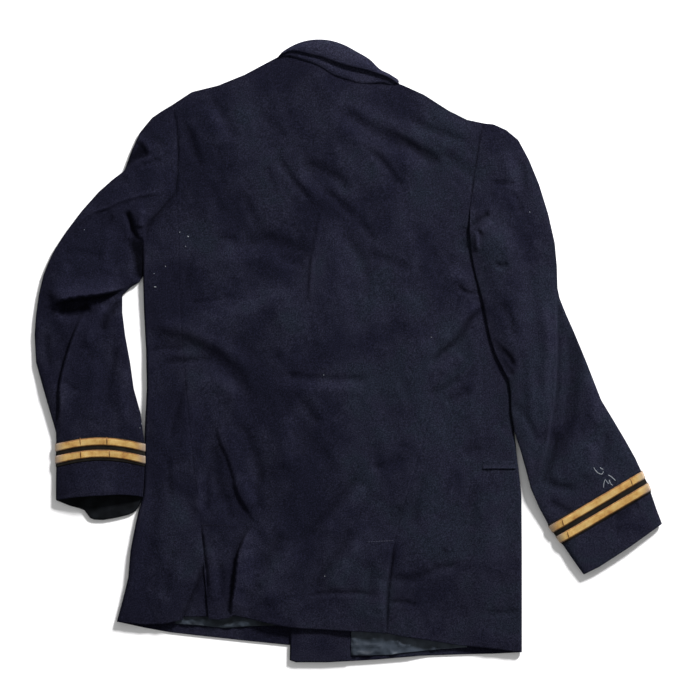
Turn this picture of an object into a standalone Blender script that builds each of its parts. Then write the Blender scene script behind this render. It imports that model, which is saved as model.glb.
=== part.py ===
# Service dress jacket, laid face down: the back is up, both fronts lie flat beneath it.
# Tables are in millimetres on the resting surface: +X to the wearer's right, +Y to the collar,
# +Z up. Every panel is a patch between two edge curves, a hem curve and a top curve.

import bpy
import numpy as np

MM = 0.001
CLOTH = 2.4            # wool cloth with its interlining
SEAM_GAP = 0.6         # between the cut edges of two panels that are sewn to each other
LAYER_GAP = 0.6        # between two layers that lie on each other
LINING = 1.0
UNDERLAP = 1.5
SLACK = 1.5            # room under the back, which the troughs between its folds use up
FRONT_RISE = 2.9       # how far the fronts stand up over the lapels and buttons
OVERLAP_STEP = 3.0     # the right front lies this much higher where it crosses the left front
SLEEVE_HIGH = 7.6      # flattened sleeve, over both layers
SLEEVE_CROWN = 1.2     # how much the upper layer arches
LACE_BACKING = 0.4
LACE = 0.8
LACE_GAP = 0.3
CUFF_RISE = 1.8        # backing, lace and their gaps under the cuff
LAPEL = 2.3
COLLAR_CLOTH = 2.0
COLLAR_BEND = 1.5      # bend radius of the collar's crease, to mid cloth
BUTTON_RADIUS = 11.5
BUTTON_THICK = 2.5

# Mid point of the garment's bounding box in the tables, taken off every point.
MIDDLE_X = -1.0
MIDDLE_Y = -1.27

# Seams between the back and the side bodies, hem to armhole.
SEAM_LEFT = ((-196, -377), (-203, -300), (-207, -244), (-217, -168), (-227, -70), (-234, 14),
             (-238, 98), (-239, 168), (-242, 222))
SEAM_RIGHT = ((53, -396), (56, -336), (63, -267), (76, -217), (97, -147), (118, -70), (136, 0),
              (151, 70), (162, 133), (168, 175))

# Armholes, from the underarm fold up to the shoulder point.
ARMHOLE_LEFT = ((-288.5, 157), (-277, 178), (-263, 195), (-251, 210), (-242, 222), (-240, 240),
                (-239, 268), (-239, 295), (-242, 323), (-249, 342))
ARMHOLE_RIGHT = ((207, 132), (186, 142), (172, 156), (168, 175), (169, 200), (174, 238),
                 (180, 275), (185, 302), (190, 317))

# The outline of the body where the side bodies fold round to the front, hem to underarm.
FOLD_LEFT = ((-325, -380), (-316, -347), (-309, -318), (-306, -281), (-301, -255), (-295, -226),
             (-288, -205), (-286.5, -182), (-286, -153), (-286, -116), (-283, -52), (-284, 0),
             (-287, 56), (-288, 92), (-288, 123), (-288.5, 157))
FOLD_RIGHT = ((242, -423), (242, -350), (242, -280), (241.5, -203), (238.5, -175), (235, -147),
              (231, -113), (227, -56), (222, 14), (216, 70), (209, 118), (207, 132))

# Shoulder seams from the shoulder point to the neck point, and the neck seam between them.
SHOULDER_LEFT = ((-249, 342), (-220, 361), (-183, 370), (-146, 385), (-105, 407), (-95, 412))
SHOULDER_RIGHT = ((190, 317), (165, 322), (139, 335), (105, 357), (74, 371), (64, 374))
NECK = ((-95, 412), (-74, 412.5), (-56, 406), (-41, 399), (-20, 386), (-3, 381), (20, 375),
        (36, 374.5), (52, 376), (64, 374))

# Front edges from the hem corner to the break of the lapel and on to the neck point.
EDGE_LEFT = ((66, -420), (64, -320), (62, -220), (61, -130), (59, -40), (57, 70), (25, 140),
             (-2, 205), (-30, 268), (-63, 345), (-93, 410))
EDGE_RIGHT = ((-83, -434), (-81, -320), (-78, -200), (-75, -90), (-69, 70), (-36, 146),
              (-8, 210), (24, 284), (40, 320), (61, 371))

# Where the side bodies meet the fronts on the underside, hem to armhole.
UNDER_LEFT = ((-284, -389), (-268, -300), (-262, -226), (-247, -150), (-245, -52), (-246, 20),
              (-249, 90), (-258, 150), (-263, 195))
UNDER_RIGHT = ((200, -425), (202, -350), (202, -280), (200, -200), (194, -147), (188, -80),
               (185, -20), (180, 40), (176, 90), (186, 142))

# Hems.
HEM_BACK = ((-196, -376), (-181, -377), (-169, -375), (-161, -371), (-146, -374), (-118, -381),
            (-83, -388), (1, -393), (53, -396))
HEM_SIDE_LEFT = ((-325, -380), (-286, -384), (-251, -382), (-232, -378), (-209, -375),
                 (-196, -376))
HEM_SIDE_RIGHT = ((242, -423), (197, -417), (155, -413), (113, -406), (71, -400), (53, -396))
HEM_FRONT_LEFT = ((-284, -389), (-251, -395), (-216, -399), (-143, -407), (-83, -413),
                  (0, -417), (66, -420))
HEM_FRONT_RIGHT = ((-83, -434), (-74, -437), (-31, -437), (6, -435), (39, -433), (99, -428),
                   (155, -426), (200, -425))

# Sleeves: one row across the arm each, from the armhole to the cuff's edge.
# Columns: outer edge x, y, inner edge x, y.
SLEEVE_LEFT_ROWS = (
    (-249.9, 342.6, -278.4, 177.0),
    (-264, 334, -280.6, 175.2),
    (-277, 325, -282.6, 173.4),
    (-294, 304, -284.6, 171.4),
    (-305, 279, -286.4, 169.0),
    (-315, 251, -288.0, 166.0),
    (-332, 238, -289.4, 161.5),
    (-351, 221, -290.4, 154),
    (-374, 195, -291.0, 141),
    (-395, 167, -291.6, 122),
    (-412, 141, -292.4, 104),
    (-421, 122, -297, 94),
    (-428, 104, -306, 88),
    (-434, 78, -317, 76),
    (-438, 50, -317, 52),
    (-440, 21, -313, 20),
    (-438, -17, -306, -18),
    (-428, -53, -301, -54),
    (-417, -91, -291.5, -88),
    (-410, -115, -289.2, -112),
    (-409.5, -131, -288.8, -131),
    (-409.5, -142, -288.6, -142),
    (-409.5, -148, -288.6, -148),
    (-409.5, -159, -288.6, -159),
    (-410, -188, -289.2, -183),
    (-410, -210, -291, -206),
)
SLEEVE_RIGHT_ROWS = (
    (190.8, 317, 168.8, 159),
    (202, 316, 169.4, 152),
    (220, 308, 170.1, 145),
    (237, 294, 171, 137),
    (252, 266, 172.4, 127),
    (266, 232, 174.6, 114),
    (279, 190, 178, 100),
    (288, 150, 183, 82),
    (291, 118, 188, 62),
    (291.5, 100, 193, 41),
    (292, 86, 199, 18),
    (295, 72, 207, -7),
    (303, 52, 217, -27),
    (315, 25, 225, -42),
    (332, -16, 228, -60),
    (353, -70, 228.8, -86),
    (370, -98, 232, -115),
    (386, -125, 240, -142),
    (396, -143, 247, -167),
    (401, -152, 254, -194),
    (405, -161, 266, -221),
    (409, -169.5, 279.5, -246),
    (413.5, -180, 286, -255),
    (417, -186, 290, -260.5),
    (421.5, -197, 297, -269.5),
    (430, -222, 313, -293),
    (438, -243, 328, -314),
)
CUFF_LEFT_UPPER = ((-410, -210), (-385, -206), (-363, -204), (-321, -202), (-298, -204),
                   (-291, -206))
CUFF_LEFT_UNDER = ((-410, -210), (-391, -218), (-372, -223), (-362, -237), (-346, -238),
                   (-328, -235), (-308, -230), (-299, -224), (-293.4, -213), (-291, -206))
CUFF_RIGHT = ((438, -243), (414, -260), (393, -275), (350, -303), (328, -314))
ARM_LEFT = ((-249.9, 342.6), (-243.1, 323), (-240.1, 295), (-240.1, 268), (-241.1, 240),
            (-243.3, 221.6), (-252.2, 209), (-264.4, 194), (-278.4, 177))
ARM_RIGHT = ((190.8, 317), (185.8, 302), (180.8, 275), (174.8, 238), (169.8, 200),
             (168.8, 175), (168.8, 159))

# Lace: which rows of the sleeve table bound the two stripes, counted from the end.
LACE_ROWS = (("upper", -6, -5), ("lower", -4, -3))
BACKING_SPREAD = 0.5   # the black backing stands out this much beyond the lace, mm
LACE_ARCH = (8.5, 12)  # the left lace bows up by this much on top, fading out by this row

# Plateau of the fronts over the lapels, the collar's leaves and the buttons.
# Columns: y, left limit, right limit of the full rise.
RISE_ROWS = ((-175, -70, 75), (60, -75, 75), (160, -90, 90), (250, -135, 125),
             (300, -160, 145), (420, -165, 145))
RISE_RAMP = 60
RISE_Y0 = -240
RISE_Y1 = -180

# Lapels: outlines on the underside, anticlockwise seen from above.
LAPEL_LEFT = ((50, 78), (22, 141), (-5, 206), (-33, 269), (-62, 328), (-88, 321), (-113, 312),
              (-134, 330), (-153, 350), (-150, 320), (-138, 288), (-105, 222), (-68, 160),
              (-20, 108), (25, 83))
LAPEL_RIGHT = ((44, 316), (27, 284), (2, 226), (13, 200), (30, 158), (46, 126), (52, 132),
               (72, 180), (98, 245), (124, 296), (137, 338), (118, 322), (98, 306), (70, 312))

# Collar: one section each from the left leaf's end round the neck to the right leaf's end.
# Columns: seam edge x y z, crease x y z, free edge x y z, direction of the fall's side x y z.
COLLAR_ROWS = (
    (-60.0, 339.0, 4.3, -50.0, 343.0, 2.8, -112.0, 330.0, 1.3, 0.0, 0.0, -1.0),
    (-72.5, 368.0, 4.3, -61.0, 372.0, 2.8, -116.0, 364.0, 1.3, 0.0, 0.0, -1.0),
    (-84.0, 396.0, 4.3, -72.0, 401.0, 2.8, -117.0, 392.0, 1.3, 0.0, 0.0, -1.0),
    (-88.0, 409.0, 4.6, -82.5, 418.0, 3.2, -106.0, 413.0, 1.4, -0.2, 0.1, -1.0),
    (-88.0, 415.5, 6.6, -88.5, 425.0, 6.4, -102.0, 415.5, 5.8, -1.0, 0.1, -0.1),
    (-82.0, 415.0, 8.6, -87.0, 428.0, 9.8, -93.0, 418.5, 13.0, -0.2, 0.1, 1.0),
    (-74.0, 413.3, 8.6, -72.0, 430.0, 10.3, -74.0, 418.5, 13.2, 0.0, 0.0, 1.0),
    (-56.0, 406.9, 8.6, -47.0, 433.5, 10.3, -52.0, 413.5, 13.4, 0.0, 0.0, 1.0),
    (-41.0, 400.0, 8.6, -28.0, 433.5, 10.3, -35.0, 408.5, 13.8, 0.0, 0.0, 1.0),
    (-20.0, 386.9, 8.6, -4.0, 427.0, 10.3, -13.0, 400.5, 14.6, 0.0, 0.0, 1.0),
    (-3.0, 381.8, 8.6, 14.0, 416.0, 10.3, 4.0, 396.0, 15.4, 0.0, 0.0, 1.0),
    (20.0, 375.9, 8.6, 34.0, 406.0, 10.3, 23.0, 391.5, 15.0, 0.0, 0.0, 1.0),
    (36.0, 375.3, 8.6, 51.0, 393.5, 10.3, 43.0, 386.0, 14.0, 0.0, 0.0, 1.0),
    (52.0, 376.8, 8.6, 66.0, 384.0, 10.3, 61.0, 381.5, 13.0, 0.2, 0.1, 1.0),
    (66.5, 377.5, 6.8, 72.0, 383.5, 6.4, 78.5, 375.5, 5.8, 1.0, 0.1, -0.1),
    (60.0, 372.5, 4.6, 56.0, 379.5, 3.1, 84.0, 371.5, 1.4, 0.2, 0.1, -1.0),
    (50.0, 353.0, 4.3, 40.0, 358.0, 2.8, 90.0, 348.0, 1.3, 0.0, 0.0, -1.0),
    (41.0, 331.0, 4.3, 31.0, 336.0, 2.8, 94.0, 320.0, 1.3, 0.0, 0.0, -1.0),
)

# Strips that show between the back's hem and the fronts' hems.
# Columns: name, kind, lower edge points, upper left point, upper right point.
HEM_STRIPS = (
    ("facing_right", "navy", ((-81.5, -433), (-74, -435.8), (-31, -436), (2, -434)),
     (-79, -305), (2, -305)),
    ("lining_right", "lining", ((3, -427), (27, -427), (55, -426.5), (77, -423.5),
                                (99, -421.5), (134, -418), (165, -416)),
     (3, -305), (165, -305)),
    ("lining_left", "lining", ((-243, -383), (-206, -385.5), (-175, -389), (-139, -386.5),
                               (-99, -385)),
     (-243, -305), (-99, -305)),
)

# Vent underlaps: corners left bottom, right bottom, right top, left top.
UNDERLAPS = (
    ("vent_underlap_left", (-240, -373), (-182, -372), (-182, -252), (-236, -252)),
    ("vent_underlap_right", (30, -391), (86, -395), (90, -274), (34, -274)),
)

# The welt of the right hip pocket, on the outside of the side body.
POCKET = ("pocket_welt_right", 187, -166, 231, -155)

# Buttons on the left front, columns x, y.
BUTTONS = ((-58, 40), (-58, -50), (-58, -140), (38, 40), (38, -50), (38, -140))

# Largest folds. Columns: name, part, kind, height or depth, width, points.
# The high side of a step is on the left of its direction.
FOLDS = (
    ("centre back", "body", "ridge", 2.6, 22, ((-32, 223), (-40, 176), (-47, 132), (-52, 70))),
    ("shoulder right", "body", "trough", -1.4, 18, ((-20, 344), (20, 319), (64, 295),
                                                    (101, 276), (140, 252))),
    ("waist across", "body", "ridge", 1.8, 18, ((-103, -30), (-63, -35), (28, -38))),
    ("waist left", "body", "trough", -1.5, 22, ((-279, 28), (-209, 7), (-160, -21),
                                                (-139, -70))),
    ("left blade", "body", "ridge", 2.4, 26, ((-209, 140), (-97, 154), (-55, 147))),
    ("left lower", "body", "ridge", 2.6, 24, ((-183, -113), (-162, -182), (-137, -232),
                                              (-131, -244))),
    ("left vent fold", "body", "step", 3.6, 20, ((-139, -252), (-152, -284), (-160, -335),
                                                 (-165, -369))),
    ("lower diagonal", "body", "ridge", 3.0, 26, ((4, -252), (-45, -329), (-62, -357))),
    ("middle diagonal", "body", "ridge", 2.4, 28, ((13, -186), (-33, -234), (-130, -323))),
    ("right waist", "body", "ridge", 2.4, 24, ((155, 60), (125, 10), (108, -40))),
    ("upper right", "body", "ridge", 1.8, 22, ((34, 280), (60, 252))),
    ("side left", "body", "ridge", 1.6, 20, ((-262, -60), (-255, -150), (-248, -260))),
    ("elbow left", "left", "step", 3.4, 26, ((-414, 64), (-395, 70), (-365, 76), (-340, 80),
                                             (-318, 84))),
    ("shoulder fold left", "left", "step", 2.4, 16, ((-279, 279), (-284, 270), (-303, 262),
                                                     (-316, 250))),
    ("forearm left", "left", "step", 2.6, 18, ((-368, 57), (-383, 27), (-398, -16),
                                               (-404, -50), (-405, -80))),
    ("upper arm left", "left", "ridge", 1.8, 16, ((-246, 219), (-288, 217), (-349, 197),
                                                  (-395, 160))),
    ("long fold right", "right", "step", 3.2, 22, ((262, -173), (281, -119), (287, -74),
                                                   (290, -24), (291, 20), (290, 87))),
)


# Curves and distances.

def lengths(points):
    """Share of a polyline's length at each of its points."""
    steps = np.hypot(*np.diff(np.asarray(points, float), axis=0).T)
    total = np.concatenate(([0.0], np.cumsum(steps)))
    return total / total[-1]


def along(points, shares):
    """Points of a polyline at shares of its length."""
    table = np.asarray(points, float)
    marks = lengths(table)
    return np.column_stack([np.interp(shares, marks, table[:, axis]) for axis in range(2)])


def piece_of(points, first, last):
    """The part of a polyline between two of its own points."""
    table = list(points)
    start = table.index(first)
    end = table.index(last)
    if start <= end:
        return table[start:end + 1]
    return table[end:start + 1][::-1]


def shifted(points, dx, dy):
    return [(x + dx, y + dy) for x, y in points]


def smooth(value):
    value = np.clip(value, 0.0, 1.0)
    return value * value * (3.0 - 2.0 * value)


def polyline_distance(x, y, points):
    """Distance to a polyline, and which side of it the point lies on (+1 is left)."""
    best = np.full(np.shape(x), 1e9)
    side = np.ones(np.shape(x))
    for (ax, ay), (bx, by) in zip(points[:-1], points[1:]):
        dx = bx - ax
        dy = by - ay
        share = np.clip(((x - ax) * dx + (y - ay) * dy) / (dx * dx + dy * dy), 0, 1)
        gap = np.hypot(x - ax - share * dx, y - ay - share * dy)
        turn = np.where(dx * (y - ay) - dy * (x - ax) >= 0, 1.0, -1.0)
        nearer = gap < best
        best = np.where(nearer, gap, best)
        side = np.where(nearer, turn, side)
    return best, side


def edge_x(points, y):
    """The x of an edge curve at height y."""
    table = sorted(points, key=lambda point: point[1])
    return np.interp(y, [point[1] for point in table], [point[0] for point in table])


# Heights of the layers, in millimetres over the resting surface.

def folds(x, y, part):
    height = np.zeros(np.shape(x))
    for name, owner, kind, depth, width, points in FOLDS:
        if owner != part:
            continue
        gap, side = polyline_distance(x, y, points)
        bump = depth * np.exp(-(gap / width) ** 2)
        if kind == "step":
            bump = bump * np.where(side > 0, 1.0, np.exp(-gap / 3.0))
        height = height + bump
    return height


def front_rise(x, y):
    marks = [row[0] for row in RISE_ROWS]
    left = np.interp(y, marks, [row[1] for row in RISE_ROWS])
    right = np.interp(y, marks, [row[2] for row in RISE_ROWS])
    across = smooth((x - left + RISE_RAMP) / RISE_RAMP) * smooth((right + RISE_RAMP - x) / RISE_RAMP)
    return FRONT_RISE * across * smooth((y - RISE_Y0) / (RISE_Y1 - RISE_Y0))


def crossing(x, y):
    """1 where the right front must lie over the left front, 0 beyond the left front's edge."""
    return smooth((edge_x(EDGE_LEFT, y) + 52 - x) / 40)


def left_front_base(x, y):
    return front_rise(x, y)


def right_front_base(x, y):
    return front_rise(x, y) + OVERLAP_STEP * crossing(x, y)


def fronts_top(x, y):
    """Top of the fronts, smoothed for what lies over both of them."""
    inside = smooth((x - edge_x(EDGE_RIGHT, y) + 64) / 50)
    within = smooth((edge_x(EDGE_LEFT, y) + 100 - x) / 50)
    return front_rise(x, y) + CLOTH + OVERLAP_STEP * inside * within


def box_share(x, y, x0, x1, y0, y1, ramp):
    across = smooth((x - x0 + ramp) / ramp) * smooth((x1 + ramp - x) / ramp)
    upright = smooth((y - y0 + ramp) / ramp) * smooth((y1 + ramp - y) / ramp)
    return across * upright


def body_base(x, y):
    """Underside of the back and of the upper part of the side bodies."""
    height = fronts_top(x, y) + LAYER_GAP + SLACK
    height = height + 0.9 * smooth((-240 - y) / 50)
    height = height + 2.0 * box_share(x, y, -245, -175, -500, -245, 40)
    height = height + 2.0 * box_share(x, y, 25, 95, -500, -265, 40)
    raised = np.maximum(folds(x, y, "body"), -SLACK + 0.1)
    calm = smooth((175 - x) / 30)
    return height + raised * calm


def support_right(x, y):
    """How high the right sleeve lies where the side body is beneath it."""
    armhole = [(168, 180), (174, 160), (189, 146)]
    seam = [(130, -430), (130, -60), (150, 60), (168, 180)]
    ring = armhole + list(reversed(FOLD_RIGHT)) + [(242, -430)] + seam
    gap, side = polyline_distance(x, y, ring)
    inside = np.zeros(np.shape(x), bool)
    for (ax, ay), (bx, by) in zip(ring[:-1], ring[1:]):
        crosses = (ay > y) != (by > y)
        reach = ax + (y - ay) / np.where(by == ay, 1e-9, by - ay) * (bx - ax)
        inside = inside ^ (crosses & (x < reach))
    away = np.where(inside, 0.0, gap)
    level = CLOTH + LAYER_GAP + SLACK + CLOTH + 1.1
    return level * (1.0 - smooth((away - 10.0) / 34.0))


# Solids.

def material(name, colour, roughness, metallic):
    made = bpy.data.materials.new(name)
    made.use_nodes = True
    shader = made.node_tree.nodes["Principled BSDF"]
    shader.inputs["Base Color"].default_value = (*colour, 1.0)
    shader.inputs["Roughness"].default_value = roughness
    shader.inputs["Metallic"].default_value = metallic
    made.diffuse_color = (*colour, 1.0)
    return made


PAINTS = {
    "navy": ((0.0150, 0.0155, 0.0290), 0.9, 0.0),
    "lining": ((0.0280, 0.0340, 0.0480), 0.6, 0.0),
    "black": ((0.0040, 0.0045, 0.0070), 0.9, 0.0),
    "gold": ((0.6100, 0.4200, 0.1600), 0.45, 0.6),
    "brass": ((0.5200, 0.3700, 0.1400), 0.35, 0.9),
}


def body(name, points, faces, paint):
    """One closed object; points in millimetres."""
    mesh = bpy.data.meshes.new(name)
    centred = np.asarray(points, float) - np.array([MIDDLE_X, MIDDLE_Y, 0.0])
    mesh.from_pydata([tuple(point) for point in centred * MM], [], faces)
    mesh.validate()
    mesh.update()
    made = bpy.data.objects.new(name, mesh)
    bpy.context.scene.collection.objects.link(made)
    made.data.materials.append(material(name + "_cloth", *PAINTS[paint]))
    return made


def volume(points, faces):
    total = 0.0
    for face in faces:
        for second, third in zip(face[1:-1], face[2:]):
            total += np.dot(points[face[0]], np.cross(points[second], points[third]))
    return total


def shell(name, outer, inner, paint, closed):
    """Wall between two grids of the same size; a closed wall joins its last column to its first."""
    rows, columns = outer.shape[:2]
    points = np.concatenate((outer.reshape(-1, 3), inner.reshape(-1, 3)))
    back = rows * columns
    faces = []
    last = columns if closed else columns - 1
    for row in range(rows - 1):
        for column in range(last):
            right = (column + 1) % columns
            a = row * columns + column
            b = row * columns + right
            c = (row + 1) * columns + right
            d = (row + 1) * columns + column
            for corners in ((a, b, c), (a, c, d)):
                faces.append(corners)
                faces.append(tuple(back + corner for corner in reversed(corners)))
    for column in range(last):
        right = (column + 1) % columns
        low = (right, column, back + column, back + right)
        top = (rows - 1) * columns
        high = (top + column, top + right, back + top + right, back + top + column)
        faces.append(low[:3])
        faces.append((low[0], low[2], low[3]))
        faces.append(high[:3])
        faces.append((high[0], high[2], high[3]))
    if not closed:
        for row in range(rows - 1):
            a = row * columns
            d = (row + 1) * columns
            faces.append((a, d, back + d))
            faces.append((a, back + d, back + a))
            b = row * columns + columns - 1
            c = (row + 1) * columns + columns - 1
            faces.append((c, b, back + b))
            faces.append((c, back + b, back + c))
    if volume(points, faces) < 0:
        faces = [tuple(reversed(face)) for face in faces]
    return body(name, points, faces, paint)


def prism(name, outline, low, high, paint):
    """A flat piece of even thickness from its outline."""
    count = len(outline)
    points = [(x, y, low) for x, y in outline] + [(x, y, high) for x, y in outline]
    lid = triangles(outline)
    faces = [tuple(reversed(face)) for face in lid]
    faces += [tuple(corner + count for corner in face) for face in lid]
    for first in range(count):
        second = (first + 1) % count
        faces.append((first, second, count + second))
        faces.append((first, count + second, count + first))
    points = np.asarray(points, float)
    if volume(points, faces) < 0:
        faces = [tuple(reversed(face)) for face in faces]
    return body(name, points, faces, paint)


def triangles(outline):
    """Ear clipping of a simple polygon."""
    table = [np.asarray(point, float) for point in outline]
    area = sum(a[0] * b[1] - b[0] * a[1] for a, b in zip(table, table[1:] + table[:1]))
    order = list(range(len(table)))
    if area < 0:
        order.reverse()
    found = []

    def turn(a, b, c):
        return (b[0] - a[0]) * (c[1] - a[1]) - (b[1] - a[1]) * (c[0] - a[0])

    while len(order) > 3:
        for place in range(len(order)):
            before = order[place - 1]
            here = order[place]
            after = order[(place + 1) % len(order)]
            a, b, c = table[before], table[here], table[after]
            if turn(a, b, c) <= 1e-9:
                continue
            others = [table[index] for index in order if index not in (before, here, after)]
            if any(turn(a, b, p) >= 0 and turn(b, c, p) >= 0 and turn(c, a, p) >= 0
                   for p in others):
                continue
            found.append((before, here, after))
            order.pop(place)
            break
        else:
            break
    found.append(tuple(order))
    return found


# Patches in plan.

class Patch:
    """Plan of a panel: left and right edges by row, with a hem and a top curve bent into it."""

    def __init__(self, left, right, hem, top, hem_reach=5.0, top_reach=3.0, arch=None):
        self.left = np.asarray(left, float)
        self.right = np.asarray(right, float)
        steps = (np.hypot(*np.diff(self.left, axis=0).T)
                 + np.hypot(*np.diff(self.right, axis=0).T)) / 2
        total = np.concatenate(([0.0], np.cumsum(steps)))
        self.marks = total / total[-1]
        self.length = total[-1]
        self.hem = hem
        self.top = top
        self.hem_reach = hem_reach
        self.top_reach = top_reach
        self.arch = arch

    def edges(self, v):
        left = np.column_stack([np.interp(v, self.marks, self.left[:, axis]) for axis in range(2)])
        right = np.column_stack([np.interp(v, self.marks, self.right[:, axis])
                                 for axis in range(2)])
        return left, right

    def at(self, u, v):
        u = np.atleast_1d(np.asarray(u, float))
        v = np.atleast_1d(np.asarray(v, float)) * np.ones(len(u))
        u = u * np.ones(len(v))
        left, right = self.edges(v)
        point = left + (right - left) * u[:, None]
        inner = np.clip(u, 0, 1)
        low = along(self.hem, inner)
        low = low - (self.left[0] + (self.right[0] - self.left[0]) * inner[:, None])
        high = along(self.top, inner)
        high = high - (self.left[-1] + (self.right[-1] - self.left[-1]) * inner[:, None])
        point = point + low * ((1 - v) ** self.hem_reach)[:, None]
        if self.arch:
            rise, rows = self.arch
            marks = self.marks
            share = smooth(v / marks[2]) * smooth((marks[rows] - v) / (marks[rows] - marks[7]))
            point[:, 1] += rise * share * np.sin(np.pi * inner)
        return point + high * (v ** self.top_reach)[:, None]

    def slant(self, v, end):
        """How much further a distance from an edge is when it is taken along the row."""
        near = self.edges(np.array([max(v - 0.01, 0.0), min(v + 0.01, 1.0)]))[end]
        tangent = near[1] - near[0]
        left, right = self.edges(np.array([v]))
        row = right[0] - left[0]
        sine = abs(row[0] * tangent[1] - row[1] * tangent[0])
        sine = sine / (np.hypot(*row) * np.hypot(*tangent))
        return 1.0 / max(sine, 0.25)

    def width(self, v):
        left, right = self.edges(np.array([v]))
        return float(np.hypot(*(right - left)[0]))


def matched(first, second, count):
    """Two edge curves cut into the same number of rows."""
    shares = np.linspace(0, 1, count)
    return along(first, shares), along(second, shares)


def sheet(name, patch, rows, columns, low, high, paint):
    lower = []
    upper = []
    for v in rows:
        plan = patch.at(columns, v)
        x = plan[:, 0]
        y = plan[:, 1]
        lower.append(np.column_stack((x, y, low(x, y))))
        upper.append(np.column_stack((x, y, high(x, y))))
    return shell(name, np.asarray(upper), np.asarray(lower), paint, False)


def even(count):
    return np.linspace(0, 1, count)


def make_back():
    left = shifted(SEAM_LEFT, 0.3, 0) + shifted(ARMHOLE_LEFT[5:], 0.3, 0)
    right = shifted(SEAM_RIGHT, -0.3, 0) + shifted(ARMHOLE_RIGHT[4:], -0.3, 0)
    left, right = paired_rows(left, right)
    top = list(SHOULDER_LEFT) + list(NECK[1:-1]) + list(reversed(SHOULDER_RIGHT))
    top[0] = tuple(left[-1])
    top[-1] = tuple(right[-1])
    patch = Patch(left, right, HEM_BACK, top, 6.0, 5.0)
    sheet("back", patch, even(37), filled(lengths(top), 0.062), body_base,
          lambda x, y: body_base(x, y) + CLOTH, "navy")


def filled(marks, widest):
    """Marks with more put in wherever two are further apart than widest."""
    table = []
    for start, end in zip(marks[:-1], marks[1:]):
        count = int(np.ceil((end - start) / widest))
        table += [start + (end - start) * step / count for step in range(count)]
    return np.asarray(table + [marks[-1]])


def paired_rows(left, right):
    """Rows for the back: the armhole's start on one side faces its start on the other."""
    count_low = 24
    count_high = 12
    start_left = 8
    start_right = 9
    low = matched(left[:start_left + 1], right[:start_right + 1], count_low)
    high = matched(left[start_left:], right[start_right:], count_high)
    return (np.concatenate((low[0], high[0][1:])), np.concatenate((low[1], high[1][1:])))


def fold_section(upper, lower, v, across, under):
    """Outer and inner points of a side body's section at v, from the seam round the fold."""
    wide_up = upper.width(v)
    wide_low = lower.width(v)
    edge = upper.at([0.0], v)[0]
    radius = (float(body_base(edge[0], edge[1])) + CLOTH) / 2
    outer = []
    inner = []
    for u in across:
        x, y = upper.at([u], v)[0]
        base = float(body_base(x, y))
        outer.append((x, y, base + CLOTH))
        inner.append((x, y, base))
    for degrees in (50, 0, -50):
        angle = np.radians(degrees)
        for bend, target in ((radius, outer), (radius - CLOTH, inner)):
            away = radius - bend * np.cos(angle)
            patch, wide = (upper, wide_up) if degrees >= 0 else (lower, wide_low)
            x, y = patch.at([away / wide], v)[0]
            target.append((x, y, radius + bend * np.sin(angle)))
    for u in under:
        x, y = lower.at([u], v)[0]
        outer.append((x, y, 0.0))
        inner.append((x, y, CLOTH))
    return outer, inner


def make_side(name, fold, seam, under, hem, armhole, top_seam, top_under, inward):
    """Side body: from the side-back seam round the fold to the seam with the front."""
    count = 30
    seam_edge = shifted(seam, inward * -0.3, 0)
    under_edge = shifted(under, inward * -0.3, 0)
    folded, seamed = matched(fold, seam_edge, count)
    folded_low, undered = matched(fold, under_edge, count)
    top_curve = piece_of(armhole, armhole[0], top_seam)
    low_curve = piece_of(armhole, armhole[0], top_under)
    hem_under = [fold[0], under[0]]
    upper = Patch(folded, seamed, hem, top_curve, 6.0, 6.0)
    lower = Patch(folded_low, undered, hem_under, low_curve, 6.0, 6.0)
    outer = []
    inner = []
    for v in even(27):
        wide_up = upper.width(v)
        wide_low = lower.width(v)
        first = 4.5 / wide_up
        across = np.concatenate((np.linspace(1, 0.16, 6), [first]))
        across = across[across >= first]
        below = np.concatenate(([4.5 / wide_low], np.linspace(0.4, 1, 3)))
        ring_out, ring_in = fold_section(upper, lower, v, across, below)
        outer.append(ring_out)
        inner.append(ring_in)
    shell(name, np.asarray(outer), np.asarray(inner), "navy", False)


def make_fronts():
    left = shifted(UNDER_LEFT, 1.2, 0) + shifted(ARMHOLE_LEFT[3:], 0.9, 0)
    side, edge = front_rows(left, EDGE_LEFT, 8, 5)
    hem = [tuple(side[0])] + list(HEM_FRONT_LEFT[1:])
    patch = Patch(side, edge, hem, ends(SHOULDER_LEFT, side, edge), 6.0, 5.0)
    sheet("front_left", patch, even(27), even(17), left_front_base,
          lambda x, y: left_front_base(x, y) + CLOTH, "navy")
    right = shifted(UNDER_RIGHT, -1.2, 0) + shifted(ARMHOLE_RIGHT[2:], -0.9, 0)
    side, edge = front_rows(right, EDGE_RIGHT, 9, 4)
    top = ends(list(reversed(SHOULDER_RIGHT)), edge, side)
    hem = list(HEM_FRONT_RIGHT[:-1]) + [tuple(side[0])]
    patch = Patch(edge, side, hem, top, 6.0, 5.0)
    sheet("front_right", patch, even(27), even(17), right_front_base,
          lambda x, y: right_front_base(x, y) + CLOTH, "navy")


def front_rows(side, edge, side_break, edge_break):
    """Rows of a front: the lapel's break faces the seam below the armhole."""
    low = matched(side[:side_break], edge[:edge_break + 1], 18)
    high = matched(side[side_break - 1:], edge[edge_break:], 14)
    return (np.concatenate((low[0], high[0][1:])), np.concatenate((low[1], high[1][1:])))


def ends(curve, left, right):
    """A curve whose two ends are moved onto the rows' ends."""
    table = [tuple(point) for point in curve]
    table[0] = tuple(left[-1])
    table[-1] = tuple(right[-1])
    return table


# Sleeves.

def sleeve_patches(rows, armhole, upper_cuff, under_cuff, arch):
    table = np.asarray(rows, float)[::-1]
    outer = table[:, :2]
    inner = table[:, 2:]
    upper = Patch(outer, inner, upper_cuff, armhole, 22.0, 7.0, arch)
    lower = Patch(outer, inner, under_cuff, armhole, 22.0, 7.0)
    return upper, lower


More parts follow.
